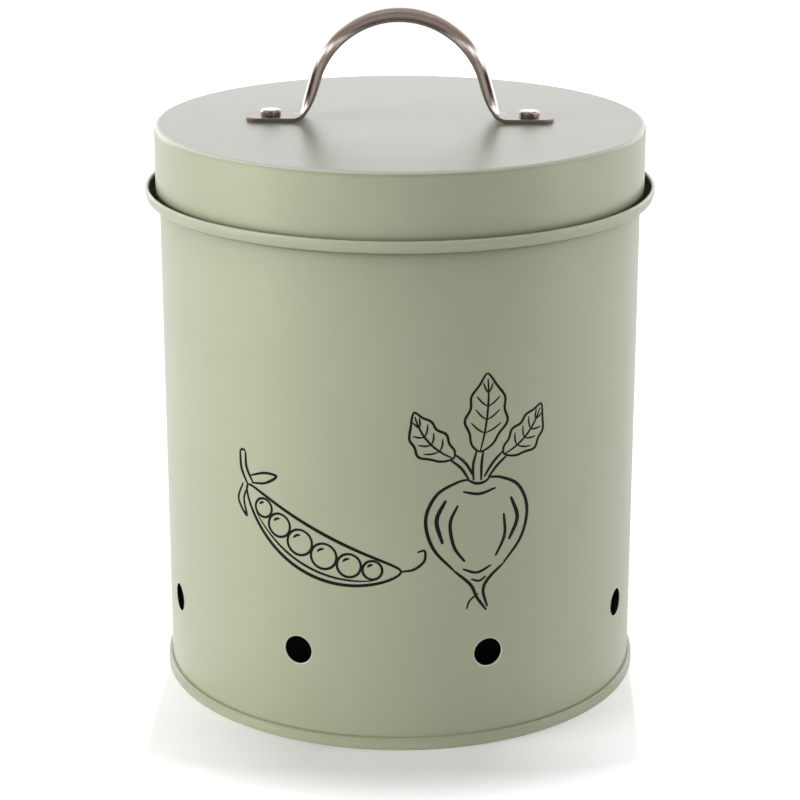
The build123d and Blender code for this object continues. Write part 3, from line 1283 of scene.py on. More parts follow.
@dataclass
class StrapPull(SubAssembly):
    """The strap handle with the rivets and washers that hold it to the lid."""

    body: str = "lid"
    width: float = 14.4 * MM
    thickness: float = 1.4 * MM
    channel_angle: float = np.radians(62.0)
    leg_angle: float = np.radians(74.0)
    bend_radius: float = 4.2 * MM
    foot_corner: float = 4.5 * MM
    fade_lag: float = 1.7
    edge_round: float = 0.3 * MM
    arc_steps: int = 60
    unroll_steps: int = 56
    foot_steps: int = 8
    corner_steps: int = 24
    rivet_spacing: float = 91.0 * MM
    rivet_setback: float = 7.0 * MM
    shank_diameter: float = 4.0 * MM
    head_diameter: float = 7.4 * MM
    head_height: float = 2.1 * MM
    head_round: float = 0.9 * MM
    head_crown: float = 0.2 * MM
    head_rings: int = 8
    head_edge: float = 0.15 * MM
    tail_diameter: float = 5.8 * MM
    tail_height: float = 0.9 * MM
    tail_round: float = 0.4 * MM
    washer_diameter: float = 9.0 * MM
    washer_thickness: float = 0.6 * MM
    washer_edge: float = 0.15 * MM
    fixing_columns: int = 64

    def build(self) -> list[Piece]:
        """Build the strap, then a rivet and a washer for each side.

        Returns:
            The strap, and each side's rivet and washer after it.
        """
        pieces = [self.strap()]
        for side, across in (("left", -self.rivet_spacing / 2), ("right", self.rivet_spacing / 2)):
            pieces.append(self.rivet(f"set_rivet_{side}", across))
            pieces.append(self.washer(f"burr_{side}", across))
        return pieces

    def dress(self, pieces: list[Piece]) -> None:
        """Give the strap its belt grain, the rivets their shine and the washers their zinc.

        Args:
            pieces: the strap, and each side's rivet and washer after it.
        """
        strap, *fixings = pieces
        self.settle(strap, STRIP, "brushed_strap", "handle_strap")
        for side, rivet, washer in zip(("left", "right"), fixings[0::2], fixings[1::2]):
            self.settle(rivet, RIVET_STEEL, "rivet_steel", f"rivet_{side}")
            self.settle(washer, PLATING, "washer_zinc", f"rivet_washer_{side}")

    def path(self) -> StripPath:
        """Work out the strap's path: an arc, a straight leg, a bend the other way, a flat foot.

        The leg leans at its angle, and the bend has its own radius. The arc's radius follows from
        both: arc and bend together have the radii that bring the strip from the crown down to the
        foot's level just where the foot starts.

        Returns:
            The path.
        """
        low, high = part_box("handle_strap")
        lean = self.leg_angle
        bend = self.bend_radius
        foot_level = low.z + self.thickness / 2
        crown_level = high.z - self.thickness / 2
        foot_start = self.rivet_spacing / 2 - self.rivet_setback
        rise = crown_level - foot_level
        drop = 1 - np.cos(lean)
        radii = (foot_start - rise / np.tan(lean)) / (np.sin(lean) - drop / np.tan(lean))
        arch = radii - bend
        arch_level = crown_level - arch

        # Distances from the crown at which the arc, the leg, the bend and the foot end
        arc_end = arch * lean
        leg_top = arch_level + arch * np.cos(lean)
        leg_foot = foot_level + bend * (1 - np.cos(lean))
        leg_end = arc_end + (leg_top - leg_foot) / np.sin(lean)
        bend_end = leg_end + bend * lean
        tip = bend_end + high.x - foot_start

        corner_turn = np.linspace(0, np.pi / 2, self.corner_steps)
        from_crown = np.concatenate(
            [
                np.linspace(0, arc_end, self.arc_steps, endpoint=False),
                np.linspace(arc_end, bend_end, self.unroll_steps, endpoint=False),
                np.linspace(bend_end, tip - self.foot_corner, self.foot_steps, endpoint=False),
                tip - self.foot_corner * (1 - np.sin(corner_turn)),
            ]
        )
        along = np.concatenate([-from_crown[:0:-1], from_crown])
        gone = np.abs(along)
        stretches = [gone <= arc_end, gone <= leg_end, gone <= bend_end]
        dip = np.select(stretches, [gone / arch, lean, (bend_end - gone) / bend], 0.0)
        leg_gone = gone - arc_end
        out = np.select(
            stretches,
            [
                arch * np.sin(dip),
                arch * np.sin(lean) + leg_gone * np.cos(lean),
                foot_start - bend * np.sin(dip),
            ],
            foot_start + gone - bend_end,
        )
        level = np.select(
            stretches,
            [
                arch_level + arch * np.cos(dip),
                leg_top - leg_gone * np.sin(lean),
                foot_level + bend * (1 - np.cos(dip)),
            ],
            foot_level,
        )
        return StripPath(along, out, level, dip, arc_end, bend_end, tip)

    def strap(self) -> Piece:
        """Carry the strap's section along its path.

        The section is a strip of constant width, curled round the path to a channel over the arc
        and unrolled along leg and bend until the foot is flat. With s as the share of the way from
        the arc's end to the foot, raised to the fade's lag, the curl is the channel's angle times
        one less s squared times (3 - 2 s).

        Returns:
            The strap, with its grain as the attribute lay.
        """
        path = self.path()
        gone = np.abs(path.along)
        late = np.clip((gone - path.arc_end) / (path.bend_end - path.arc_end), 0, 1) ** self.fade_lag
        curl = self.channel_angle * (1 - eased(late)) / (self.width / 2)

        # Rounded corners of the foot in plan, and the rounding of its end face
        past = np.clip(gone - (path.tip - self.foot_corner), 0, self.foot_corner)
        half_width = self.width / 2 - self.foot_corner + np.sqrt(self.foot_corner**2 - past**2)
        nosed = np.clip(gone - (path.tip - self.edge_round), 0, self.edge_round)
        rounding = np.sqrt(self.edge_round**2 - nosed**2)

        side, face, cosine, sine = strip_loop().T
        across = side * (half_width - self.edge_round)[:, None] + cosine * rounding[:, None]
        depth = face * (self.thickness / 2 - self.edge_round) + sine * rounding[:, None]

        # Curled section: a point turns round the curl's centre by the curl times its place across,
        # in forms of the sine over its angle that stay whole where the curl is zero
        bent = curl[:, None] * across
        y = across * np.sinc(bent / np.pi) + depth * np.sin(bent)
        sag = bent * across / 2 * np.sinc(bent / 2 / np.pi) ** 2
        lift = depth * np.cos(bent) - sag
        dip = path.dip[:, None]
        x = np.sign(path.along)[:, None] * (path.out[:, None] + lift * np.sin(dip))
        z = path.level[:, None] + lift * np.cos(dip)
        along = np.broadcast_to(path.along[:, None], across.shape)
        lay = np.stack([across, along, depth], axis=-1)
        skin = Skin()
        skin.add_tube(np.stack([x, y, z], axis=-1), lay)
        return skin.piece("strap_pull")

    def rivet(self, name: str, across: float) -> Piece:
        """Build a rivet: pan head over the strap's foot, shank, and tail closed on the washer.

        The head's top is a shallow crown, which falls by its height times the square of the share
        of the way out to the rim.

        Args:
            name: the piece's name.
            across: where it stands along X.

        Returns:
            The rivet.
        """
        foot_top = Reach.of("lid_cap").top + self.thickness
        head_top = foot_top + self.head_height
        tail_level = Reach.of("lid_cap").top - SHEET - self.washer_thickness
        shank = self.shank_diameter / 2
        head = self.head_diameter / 2
        tail = self.tail_diameter / 2
        tail_low = tail_level - self.tail_height
        inward = np.linspace((head - self.head_round) / head, 0, self.head_rings)
        crown = head_top - self.head_crown * inward**2
        corners = [
            Corner(0.0, tail_low),
            Corner(tail, tail_low, self.tail_round),
            Corner(tail, tail_level, self.head_edge),
            Corner(shank, tail_level),
            Corner(shank, foot_top),
            Corner(head, foot_top, self.head_edge),
            Corner(head, head_top - self.head_crown, self.head_round),
            *[Corner(head * float(out), float(up)) for out, up in zip(inward, crown)],
        ]
        skin = Skin()
        ring = turned(rounded_section(corners), even_turn(self.fixing_columns)) + [across, 0, 0]
        skin.add(ring, wrap_columns=True)
        return skin.piece(name)

    def washer(self, name: str, across: float) -> Piece:
        """Build a washer, a flat ring with worn edges under the lid.

        Args:
            name: the piece's name.
            across: where it lies along X.

        Returns:
            The washer.
        """
        top = Reach.of("lid_cap").top - SHEET
        low = top - self.washer_thickness
        inner = self.shank_diameter / 2
        outer = self.washer_diameter / 2
        corners = [
            Corner(inner, low, self.washer_edge),
            Corner(outer, low, self.washer_edge),
            Corner(outer, top, self.washer_edge),
            Corner(inner, top, self.washer_edge),
        ]
        skin = Skin()
        ring = turned(rounded_section(corners), even_turn(self.fixing_columns)) + [across, 0, 0]
        skin.add(ring, wrap_rows=True, wrap_columns=True)
        return skin.piece(name)


# Printed drawings


def drawn_through(spots: Sequence[tuple[float, float]], steps: int = 14) -> Points:
    """Draw a smooth line through a few points.

    Each stretch is a cubic that passes its two points with the slope of the chord between their
    neighbours, worked out as its double. The line's ends carry on straight.

    Args:
        spots: points as (across, up).
        steps: points on each stretch.

    Returns:
        Rows of (across, up).
    """
    given = np.array(spots, dtype=float)
    padded = np.concatenate([2 * given[:1] - given[1:2], given, 2 * given[-1:] - given[-2:-1]])
    before, start, end, after = (padded[i : len(padded) - 3 + i, None] for i in range(4))
    way = np.linspace(0, 1, steps, endpoint=False)[None, :, None]
    square = 2 * before - 5 * start + 4 * end - after
    cube = 3 * start - before - 3 * end + after
    curve = 2 * start + (end - before) * way + square * way**2 + cube * way**3
    return np.concatenate([curve.reshape(-1, 2) / 2, given[-1:]])


@dataclass(frozen=True)
class Stroke:
    """A pen stroke: its line as (across, up), its width, and its end width as a share of that."""

    line: Points
    width: float
    taper: float = 0.5


@dataclass(frozen=True)
class Motif(ABC):
    """A drawing in its own millimetres, with its place, size and tilt on the unrolled front."""

    across: float
    up: float
    size: float = 1.0
    tilt: float = 0.0
    pen: float = 1.35

    @abstractmethod
    def strokes(self) -> list[Stroke]:
        """Give the motif's strokes, in millimetres round its own middle."""

    def placed(self) -> list[Stroke]:
        """Turn, size and shift the strokes to their place.

        Returns:
            The strokes in metres on the unrolled front.
        """
        turn = np.radians(self.tilt)
        rotation = np.array([[np.cos(turn), np.sin(turn)], [-np.sin(turn), np.cos(turn)]])
        shift = np.array([self.across, self.up])
        return [
            Stroke(
                (stroke.line @ rotation * self.size + shift) * MM,
                stroke.width * self.pen * MM,
                stroke.taper,
            )
            for stroke in self.strokes()
        ]


@dataclass(frozen=True)
class Beetroot(Motif):
    """Round root with a tail and three veined leaves.

    A leaf's lines have a number of points. Its swell leans towards the base and is filled out by
    two powers, and its edge has waves with a depth and a start. Its veins start at some of the
    midrib's points, rise by a few points, reach for a share of the half width, and sag.
    """

    leaf_points: int = 60
    leaf_lean: float = 0.85
    leaf_fullness: float = 0.8
    waves: int = 3
    wave_depth: float = 0.10
    wave_start: float = 0.6
    rib_short: int = 4
    vein_feet: tuple[int, ...] = (14, 24, 34, 44)
    vein_rise: int = 8
    vein_reach: float = 0.72
    vein_sag: float = 0.5
    vein_steps: int = 6

    def leaf(
        self, base: tuple[float, float], tip: tuple[float, float], bow: float, width: float
    ) -> list[Stroke]:
        """Draw a leaf with a wavy edge, a midrib and side veins.

        The midrib is a parabola bowed sideways between base and tip: the bow times four times the
        way gone times the way left. The edge stands off it by the width times the swell, which is
        the sine of half a turn of the way, and a share of that goes up and down with the waves.

        Args:
            base: where the leaf starts.
            tip: where it ends.
            bow: how far its middle swings to the left of the straight line.
            width: its half width.

        Returns:
            The leaf's strokes.
        """
        start, end = np.array(base), np.array(tip)
        way = np.linspace(0, 1, self.leaf_points)[:, None]
        chord = end - start
        ahead = chord / np.linalg.norm(chord)
        left = np.array([-chord[1], chord[0]]) / np.linalg.norm(chord)
        rib = start + chord * way + left * bow * 4 * way * (1 - way)
        wave = np.sin(2 * self.waves * np.pi * way + self.wave_start)
        swell = np.sin(np.pi * way**self.leaf_lean) ** self.leaf_fullness
        swell = swell * (1 + self.wave_depth * wave)
        strokes = [Stroke(rib[: -self.rib_short], width=0.6, taper=0.5)]
        for hand in (-1.0, 1.0):
            edge = rib + hand * left * width * swell
            strokes.append(Stroke(edge, width=0.72, taper=0.7))
            for at in self.vein_feet:
                top = at + self.vein_rise
                foot, reach = rib[at], rib[top] + self.vein_reach * (edge[top] - rib[top])
                middle = (foot + reach) / 2 - ahead * self.vein_sag
                line = drawn_through([foot, middle, reach], self.vein_steps)
                strokes.append(Stroke(line, width=0.5, taper=0.3))
        return strokes

    def strokes(self) -> list[Stroke]:
        """Draw the root's two sides, its rings, its shading and the leaves on their stalks.

        Returns:
            The strokes in millimetres: first lines through points with their widths, then leaves
            by base, tip, bow and half width.
        """
        lines = [
            ([(-4, 19.5), (-9, 18.6), (-17, 14), (-21.3, 4), (-18.4, -8), (-10, -18)], 0.95),
            ([(-10, -18), (-3.2, -24.5), (-0.6, -30), (3.5, -36)], 0.9),
            ([(3.6, 19.8), (9.5, 18.8), (17, 14.4), (21, 4.6), (18.6, -7), (10.6, -17.2)], 0.95),
            ([(10.6, -17.2), (4.4, -22.6), (2.1, -27.5), (3.9, -34.6)], 0.9),
            ([(-4.6, 19.2), (-1.2, 17.6), (2.2, 17.9), (4.4, 19.6)], 0.8),
            ([(-13.4, 11.6), (-17, 3.4), (-14.6, -6.4)], 1.15),
            ([(-8.6, 9.2), (-11.6, 1.8), (-10, -8), (-5.6, -14.6)], 0.95),
            ([(13, -7.6), (16.6, 1.2), (13.6, 10.2)], 1.15),
            ([(7.2, -13.6), (11, -5.4), (10.6, 3.8)], 0.9),
            ([(-6.4, -17.6), (-0.6, -19.6), (5.4, -17.2)], 0.75),
            ([(-3, -22.2), (0.4, -23.2), (3.2, -21.6)], 0.65),
            ([(-6.6, 14.6), (0.2, 13.2), (7, 14.9)], 0.8),
            ([(0.2, -28.4), (-3.4, -31.2), (-4.8, -34.8)], 0.55),
            ([(-2.3, 18.9), (-2.6, 25), (-1.2, 31)], 0.75),
            ([(0.8, 18.6), (0.9, 25), (1.6, 31)], 0.75),
            ([(-4.2, 19.4), (-7.4, 24.4), (-11.6, 28)], 0.75),
            ([(-2.4, 20.6), (-5.4, 26), (-9.6, 30)], 0.75),
            ([(2, 20), (5.6, 25.4), (9.6, 29.4)], 0.75),
            ([(3.8, 19.6), (7.4, 24), (11.6, 27.6)], 0.75),
        ]
        drawn = [Stroke(drawn_through(spots), width) for spots, width in lines]
        drawn += self.leaf((0.2, 30.4), (3.0, 62.0), bow=-1.6, width=8.2)
        drawn += self.leaf((-10.4, 28.6), (-26.0, 48.0), bow=3.2, width=6.4)
        drawn += self.leaf((10.4, 28.2), (27.0, 46.5), bow=-3.0, width=6.4)
        return drawn


@dataclass(frozen=True)
class PeaPod(Motif):
    """Open pod with a row of peas, a stalk and a curled tip.

    The far shell is a share of the near one, both filled out by a power. The lip lies inside the
    near shell and stops some points short of its ends. Peas shrink towards the row's ends, and a
    pea's outline and shine are shares of its radius, the shine over a part of the circle's points.
    """

    length: float = 54.0
    bow: float = 6.5
    shell: float = 7.6
    shell_points: int = 90
    shell_fullness: float = 0.62
    far_shell: float = 0.86
    lip_inset: float = 2.0
    lip_short: int = 12
    peas: int = 6
    pea_radius: float = 4.3
    pea_points: int = 40
    pea_shrink: float = 1.1
    pea_outline: float = 0.94
    pea_shine: float = 0.55
    shine_from: int = 30
    shine_to: int = 38
    row_share: float = 0.98

    def spine(self, way: Points) -> Points:
        """Middle line of the pod: a parabola that hangs by the bow between its ends."""
        across = (way - 0.5) * self.length
        return np.stack([across, -self.bow * 4 * way * (1 - way)], axis=-1)

    def strokes(self) -> list[Stroke]:
        """Draw both shells, the lip, the peas with their shine, the stalk and the tip.

        A shell stands off the spine by its depth times the sine of half a turn of the way. Peas
        touch: each stands at the sum of the radii before it, and the whole row is set in the middle.

        Returns:
            The strokes in millimetres.
        """
        way = np.linspace(0, 1, self.shell_points)
        middle = self.spine(way)
        slope = np.gradient(middle, axis=0)
        normal = np.stack([-slope[:, 1], slope[:, 0]], axis=-1)
        normal /= np.linalg.norm(normal, axis=1)[:, None]
        swell = np.sin(np.pi * way)[:, None] ** self.shell_fullness
        lip = middle - normal * (self.shell - self.lip_inset) * swell
        drawn = [
            Stroke(middle + normal * self.shell * self.far_shell * swell, width=0.95, taper=0.6),
            Stroke(middle - normal * self.shell * swell, width=0.95, taper=0.6),
            Stroke(lip[self.lip_short : -self.lip_short], width=0.7, taper=0.2),
        ]
        turn = np.linspace(0, 2 * np.pi, self.pea_points)
        circle = np.stack([np.sin(turn), np.cos(turn)], axis=-1)
        spread = np.linspace(-0.5, 0.5, self.peas)
        sizes = self.pea_radius * (1 - self.pea_shrink * spread**2)
        places = np.cumsum(sizes + np.roll(sizes, 1)) - sizes[0] - sizes[-1]
        places = 0.5 + (places - places.mean()) / self.length * self.row_share
        for centre, size in zip(self.spine(places), sizes):
            outline = centre + size * self.pea_outline * circle
            shine = centre + size * self.pea_shine * circle
            drawn.append(Stroke(outline, width=0.72, taper=0.9))
            drawn.append(Stroke(shine[self.shine_from : self.shine_to], width=0.7, taper=0.3))
        lines = [
            ([(-27, 0), (-31, 3.4), (-33.6, 8.2)], 0.85),
            ([(-25.6, 1.8), (-29.4, 4.8), (-31.6, 9)], 0.85),
            ([(-33.6, 8.2), (-32.6, 9.2), (-31.6, 9)], 0.7),
            ([(-25.8, 1.4), (-21.6, 4.2), (-19, 8.4), (-23, 7), (-27.2, 3.2)], 0.75),
            ([(-26.6, -0.4), (-26.4, -5), (-23.4, -9.4), (-28.2, -6.4), (-28.6, -0.6)], 0.75),
            ([(27, 0), (30, 2), (31.8, 5.6), (30.6, 8.6), (28.8, 7.4)], 0.75),
        ]
        drawn += [Stroke(drawn_through(spots), width) for spots, width in lines]
        return drawn


@dataclass
class PrintedFront(SubAssembly):
    """The line drawings printed on the front of the wall.

    A ribbon of ink has a section with sides at shares of its half width: it leaves the wall, is
    half a film high, and reaches the film's height, and down again.
    """

    body: str = "canister"
    wall_radius: float = 85.0 * MM
    film: float = 0.04 * MM
    sink: float = 0.03 * MM
    sides: tuple[float, ...] = (-1.0, -0.96, -0.8, 0.8, 0.96, 1.0)
    motifs: tuple[tuple[str, Motif], ...] = (
        ("printed_beetroot", Beetroot(across=29.5, up=80.5, size=0.86)),
        ("printed_pea_pod", PeaPod(across=-25.0, up=78.0, size=1.14, tilt=-24.0)),
    )

    def build(self) -> list[Piece]:
        """Make one piece of ink for each drawing.

        Returns:
            The pieces of ink.
        """
        return [self.inked(name, motif.placed()) for name, motif in self.motifs]

    def dress(self, pieces: list[Piece]) -> None:
        """Ink the drawings.

        Args:
            pieces: the pieces of ink.
        """
        for piece in pieces:
            self.settle(piece, INK, "sage_coat")

    def inked(self, name: str, strokes: Sequence[Stroke]) -> Piece:
        """Lay strokes on the wall as thin ribbons.

        A ribbon's section is flat on top with sloped sides and reaches a little into the wall. It
        is carried along the stroke's line, which lies on the wall as distance across over the
        radius gives the angle. Its width swells from its taper at the ends to the whole in the
        middle, by the root of the sine of half a turn of the way.

        Args:
            name: the piece's name.
            strokes: strokes on the unrolled front, in metres.

        Returns:
            The drawing as one piece.
        """
        skin = Skin()
        sides = np.array(self.sides)
        slopes = np.array([-self.sink, self.film / 2, self.film])
        heights = np.concatenate([slopes, slopes[::-1]])
        for stroke in strokes:
            slope = np.gradient(stroke.line, axis=0)
            length = np.linalg.norm(slope, axis=1)
            normal = np.stack([-slope[:, 1], slope[:, 0]], axis=-1) / length[:, None]
            way = np.cumsum(length) - length[0]
            way /= way[-1]
            swell = stroke.taper + (1 - stroke.taper) * np.sin(np.pi * way) ** 0.5
            half = stroke.width / 2 * swell
            flat = stroke.line[:, None] + normal[:, None] * (half[:, None] * sides)[:, :, None]
            out = self.wall_radius + heights
            angle = flat[:, :, 0] / self.wall_radius
            grid = np.stack([out * np.sin(angle), -out * np.cos(angle), flat[:, :, 1]], axis=-1)
            skin.add_tube(grid)
        return skin.piece(name)


# Studio


@dataclass(frozen=True)
class Panel:
    """Panel that the finishes mirror: degrees from the front and from the level, sides in metres."""

    name: str
    turn: float
    lift: float
    width: float
    height: float
    color: str
    strength: float = 1.0
    further: float = 1.0


@dataclass(frozen=True)
class Lamp:
    """Square soft lamp: where it hangs, the point that it faces, its side, and its watts."""

    name: str
    place: tuple[float, float, float]
    target: tuple[float, float, float]
    size: float
    power: float


@dataclass(frozen=True)
class Fade:
    """Rise of a share up to 1 over a stretch of the floor in metres: from what, and how evenly."""

    start: float
    end: float
    least: float = 0.0
    even: bool = False


@dataclass(frozen=True)
class Studio:
    """Pale sweep, soft lamps, panels for the metal to mirror, and the camera.

    The floor's lift is what it adds to its paper's light where the camera looks, less of it near the
    foot, which paints a shadow there. The surround lights at a plain level up to a rise of the view,
    and from a greater rise on at a share of it. Side panels hang once on each side. Lens and sensor
    are in millimetres.
    """

    floor_half: float = 6.0
    floor_rows: int = 9
    floor_color: str = "#E9E9E7"
    floor_lift: float = 0.92
    mirrored_share: float = 0.6
    # Where the floor's glow fades in; less glow near the foot paints a shadow there
    round_foot: Fade = Fade(98.0 * MM, 148.0 * MM, least=0.17)
    beside_foot: Fade = Fade(28.0 * MM, 145.0 * MM, least=0.17, even=True)
    past_foot: Fade = Fade(80.0 * MM, 88.0 * MM)
    ambient: float = 0.42
    overhead_share: float = 0.15
    level_below: float = 0.15
    overhead_above: float = 0.55
    lamps: tuple[Lamp, ...] = (
        Lamp("key_left", (-1.27, -0.59, 0.42), (0.0, 0.0, 0.12), size=0.7, power=17.8),
        Lamp("fill_right", (1.40, -0.10, 0.40), (0.0, 0.0, 0.12), size=0.7, power=10.0),
        Lamp("back_soft", (0.0, 1.3, 0.45), (0.0, 0.0, 0.2), size=0.8, power=3.0),
        Lamp("front_low", (0.1, -1.5, 0.20), (0.0, 0.0, 0.02), size=0.8, power=3.1),
    )
    mirror_level: float = 0.22
    room_distance: float = 1.7
    panel_rows: int = 3
    panels: tuple[Panel, ...] = (
        Panel("dark_front", 0.0, 14.0, 2.0, 2.4, "#6B605A"),
        Panel("dark_front_high", 0.0, 58.0, 2.6, 0.6, "#6F645D"),
        Panel("bright_back", 180.0, 14.0, 2.0, 1.1, "#FFFFFF", 1.55),
        Panel("grey_back", 180.0, 50.0, 3.0, 0.95, "#C4B8B0"),
        Panel("ceiling", 0.0, 90.0, 3.4, 1.5, "#A1958D", 1.0, 1.1),
        Panel("ceiling_strip", 0.0, 80.0, 2.4, 0.2, "#BDB2AA"),
    )
    side_panels: tuple[Panel, ...] = (
        Panel("grey_front", 47.0, 5.0, 1.05, 0.95, "#78695F"),
        Panel("mid_side", 77.0, 4.0, 0.68, 0.85, "#C9BDB5"),
        Panel("dark_side", 104.0, 0.0, 0.90, 0.66, "#1E1A18"),
        Panel("bright_low", 135.0, 5.0, 0.70, 0.80, "#FFFFFF", 2.2),
        Panel("bright_step", 114.0, 19.0, 0.60, 0.34, "#FFFFFF", 2.5),
        Panel("bright_side", 93.0, 29.0, 0.75, 0.22, "#FFFFFF", 2.2),
        Panel("bright_side_high", 70.0, 36.0, 0.72, 0.20, "#FFFFFF", 1.3),
        Panel("side_wall", 95.0, 30.0, 3.4, 2.6, "#A3958B", 1.0, 1.15),
    )
    camera_distance: float = 858.6 * MM
    camera_height: float = 375.0 * MM
    camera_pitch: float = np.radians(17.833)
    camera_turn: float = np.radians(1.75)
    camera_lens: float = 111.3
    camera_sensor: float = 36.0
    camera_near: float = 0.05
    camera_far: float = 50.0

    def build(self) -> None:
        """Set up the view, the surround, the floor, the lamps and the camera."""
        bpy.context.scene.view_settings.view_transform = "Standard"
        self.surround()
        self.floor()
        for panel in self.panels:
            self.hang(panel)
        for panel in self.side_panels:
            self.hang(replace(panel, name=f"{panel.name}_left", turn=-panel.turn))
            self.hang(replace(panel, name=f"{panel.name}_right"))
        for lamp in self.lamps:
            self.light(lamp)
        self.camera()

    def seen(self, tree: bpy.types.NodeTree, mirrored: float = 1.0) -> Socket:
        """Give 1 for rays from the camera or through glass, and 0 for the light itself.

        It is the greatest of three: whether the camera sends the ray, whether a mirror does times
        what mirrors get, and whether glass passes it on.

        Args:
            tree: the node tree that takes the nodes.
            mirrored: what rays from a mirror get.

        Returns:
            The socket with the value.
        """
        path = add_node(tree, "ShaderNodeLightPath")
        mirror = add_node(
            tree,
            "ShaderNodeMath",
            {"operation": "MULTIPLY"},
            {0: path.outputs["Is Glossy Ray"], 1: mirrored},
        )
        direct = add_node(
            tree, "ShaderNodeMath", {"operation": "MAXIMUM"}, {0: path.outputs["Is Camera Ray"], 1: mirror}
        )
        both = add_node(
            tree,
            "ShaderNodeMath",
            {"operation": "MAXIMUM"},
            {0: direct, 1: path.outputs["Is Transmission Ray"]},
        )
        return both.outputs[0]

    def surround(self) -> None:
        """Set up a white surround that lights at a plain level, with less from overhead."""
        world = bpy.data.worlds.new("white_surround")
        bpy.context.scene.world = world
        tree = bare_tree(world)
        toward = add_node(tree, "ShaderNodeTexCoord").outputs["Generated"]
        rise = add_node(tree, "ShaderNodeSeparateXYZ", inputs={0: toward})
        plain = add_node(
            tree,
            "ShaderNodeMapRange",
            {"interpolation_type": "SMOOTHSTEP"},
            {
                "Value": rise.outputs["Z"],
                "From Min": self.level_below,
                "From Max": self.overhead_above,
                "To Min": self.ambient,
                "To Max": self.ambient * self.overhead_share,
            },
        )
        strength = add_node(
            tree, "ShaderNodeMapRange", inputs={"Value": self.seen(tree), "To Min": plain, "To Max": 1.0}
        )
        light = add_node(
            tree, "ShaderNodeBackground", inputs={"Color": (1.0, 1.0, 1.0, 1.0), "Strength": strength}
        )
        add_node(tree, "ShaderNodeOutputWorld", inputs={"Surface": light})

    def floor(self) -> None:
        """Lay a pale floor that the camera sees as white, apart from the shadow round the foot.

        To the paper's own light comes a glow: the lift, times a share that is less near the foot and
        paints a shadow there, times what the ray gets that sees it.
        """
        line = np.linspace(-self.floor_half, self.floor_half, self.floor_rows)
        across, deep = np.meshgrid(line, line)
        skin = Skin()
        skin.add(np.stack([across, deep, np.zeros_like(across)], axis=-1))
        floor = skin.piece("studio_floor")
        sheet = bpy.data.materials.new("white_paper_sweep")
        tree = bare_tree(sheet)
        paper = add_node(tree, "ShaderNodeBsdfDiffuse", inputs={"Color": linear(self.floor_color)})
        # Painted shadow: the glow is less near the foot
        level = add_node(
            tree,
            "ShaderNodeMath",
            {"operation": "MULTIPLY"},
            {0: self.glow_outside_painted_shadow(tree), 1: self.floor_lift},
        )
        lift = add_node(
            tree,
            "ShaderNodeMath",
            {"operation": "MULTIPLY"},
            {0: self.seen(tree, self.mirrored_share), 1: level},
        )
        glow = add_node(tree, "ShaderNodeEmission", inputs={"Strength": lift})
        both = add_node(tree, "ShaderNodeAddShader", inputs={0: paper, 1: glow})
        add_node(tree, "ShaderNodeOutputMaterial", inputs={"Surface": both})
        floor.data.materials.append(sheet)

    def glow_outside_painted_shadow(self, tree: bpy.types.NodeTree) -> Socket:
        """Work out the floor's glow share, low round the foot as a painted shadow, up to 1 in the open.

        It is the greatest of three shares: one that eases in with the distance from the middle,
        one that rises evenly with the distance to either side, and one that eases in just past the
        foot's sides.

        Args:
            tree: the floor's node tree.

        Returns:
            The socket with the share.
        """
        place = add_node(tree, "ShaderNodeTexCoord").outputs["Object"]
        away = add_node(tree, "ShaderNodeVectorMath", {"operation": "LENGTH"}, {0: place})
        parts = add_node(tree, "ShaderNodeSeparateXYZ", inputs={0: place})
        aside = add_node(tree, "ShaderNodeMath", {"operation": "ABSOLUTE"}, {0: parts.outputs["X"]})
        fades = (
            (away.outputs["Value"], self.round_foot),
            (aside.outputs[0], self.beside_foot),
            (aside.outputs[0], self.past_foot),
        )
        widest = 0.0
        for distance, fade in fades:
            share = add_node(
                tree,
                "ShaderNodeMapRange",
                {"interpolation_type": "LINEAR" if fade.even else "SMOOTHSTEP"},
                {"Value": distance, "From Min": fade.start, "From Max": fade.end, "To Min": fade.least},
            )
            widest = add_node(tree, "ShaderNodeMath", {"operation": "MAXIMUM"}, {0: widest, 1: share})
        return widest.outputs[0]

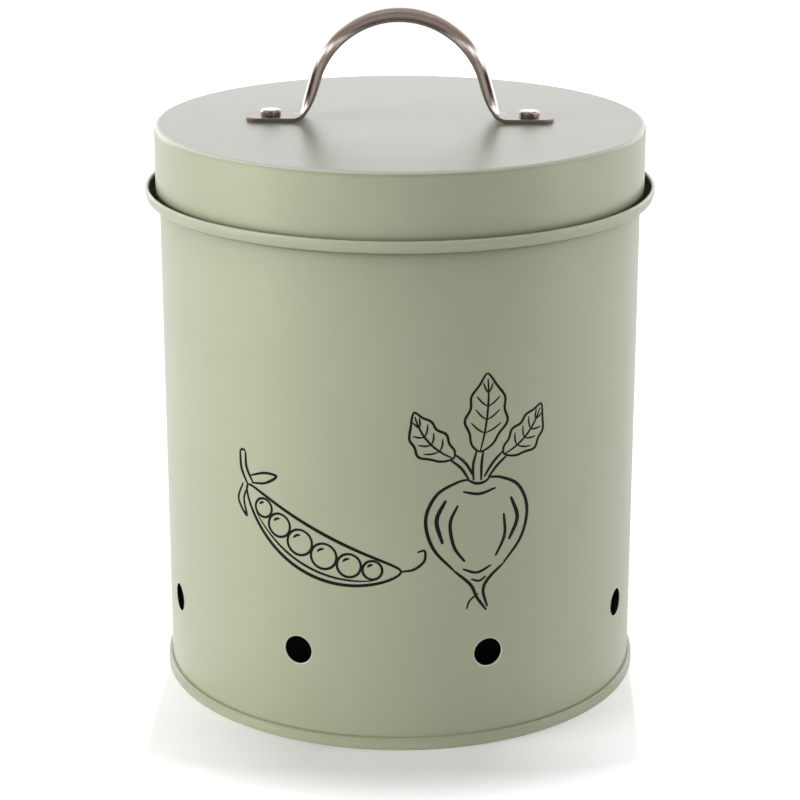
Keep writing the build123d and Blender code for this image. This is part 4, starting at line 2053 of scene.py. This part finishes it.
    def hang(self, panel: Panel) -> None:
        """Hang a panel that only mirrors see, facing the handle.

        The panel's middle lies at the room's distance from the handle, turned from the front and
        lifted from the level. Its points are its middle plus shares of its width and height.

        Args:
            panel: the panel.
        """
        turn, lift = np.radians(panel.turn), np.radians(panel.lift)
        out = np.array([np.sin(turn) * np.cos(lift), -np.cos(turn) * np.cos(lift), np.sin(lift)])
        level = np.array([np.cos(turn), np.sin(turn), 0.0])
        rising = np.cross(out, level)
        middle = np.array([0.0, 0.0, self.mirror_level]) + self.room_distance * panel.further * out
        shares = np.linspace(-0.5, 0.5, self.panel_rows)
        across, up = np.meshgrid(shares, shares)
        grid = across[..., None] * panel.width * level + up[..., None] * panel.height * rising
        skin = Skin()
        skin.add(middle + grid)
        card = skin.piece(panel.name)
        card.visible_camera = False
        card.visible_diffuse = False
        card.visible_shadow = False
        card.visible_transmission = False
        made = bpy.data.materials.new(panel.name)
        tree = bare_tree(made)
        glow = add_node(
            tree, "ShaderNodeEmission", inputs={"Color": linear(panel.color), "Strength": panel.strength}
        )
        add_node(tree, "ShaderNodeOutputMaterial", inputs={"Surface": glow})
        card.data.materials.append(made)

    def light(self, lamp: Lamp) -> None:
        """Hang a lamp that faces its target.

        Args:
            lamp: the lamp.
        """
        data = bpy.data.lights.new(lamp.name, "AREA")
        data.size = lamp.size
        data.energy = lamp.power
        hung = bpy.data.objects.new(lamp.name, data)
        hung.location = lamp.place
        facing = Vector(lamp.target) - Vector(lamp.place)
        hung.rotation_euler = facing.to_track_quat("-Z", "Y").to_euler()
        hung.visible_camera = False
        hung.visible_glossy = False
        bpy.context.scene.collection.objects.link(hung)

    def camera(self) -> None:
        """Stand the camera where the photograph was taken from."""
        data = bpy.data.cameras.new("camera")
        data.lens = self.camera_lens
        data.sensor_width = self.camera_sensor
        data.clip_start = self.camera_near
        data.clip_end = self.camera_far
        camera = bpy.data.objects.new("camera", data)
        camera.location = (
            self.camera_distance * np.sin(self.camera_turn),
            -self.camera_distance * np.cos(self.camera_turn),
            self.camera_height,
        )
        camera.rotation_euler = (np.pi / 2 - self.camera_pitch, 0.0, self.camera_turn)
        bpy.context.scene.collection.objects.link(camera)
        bpy.context.scene.camera = camera


def main() -> None:
    """Build the studio and every sub-assembly in order, and report each piece."""
    logging.basicConfig(level=logging.INFO, format="%(name)s: %(message)s")
    Studio().build()
    for part in (Drum(), LidCap(), StrapPull(), PrintedFront()):
        pieces = part.build()
        part.dress(pieces)
        for piece in pieces:
            log.info("%s: %d faces, on %s", piece.name, len(piece.data.polygons), part.body)


if __name__ == "__main__":
    main()
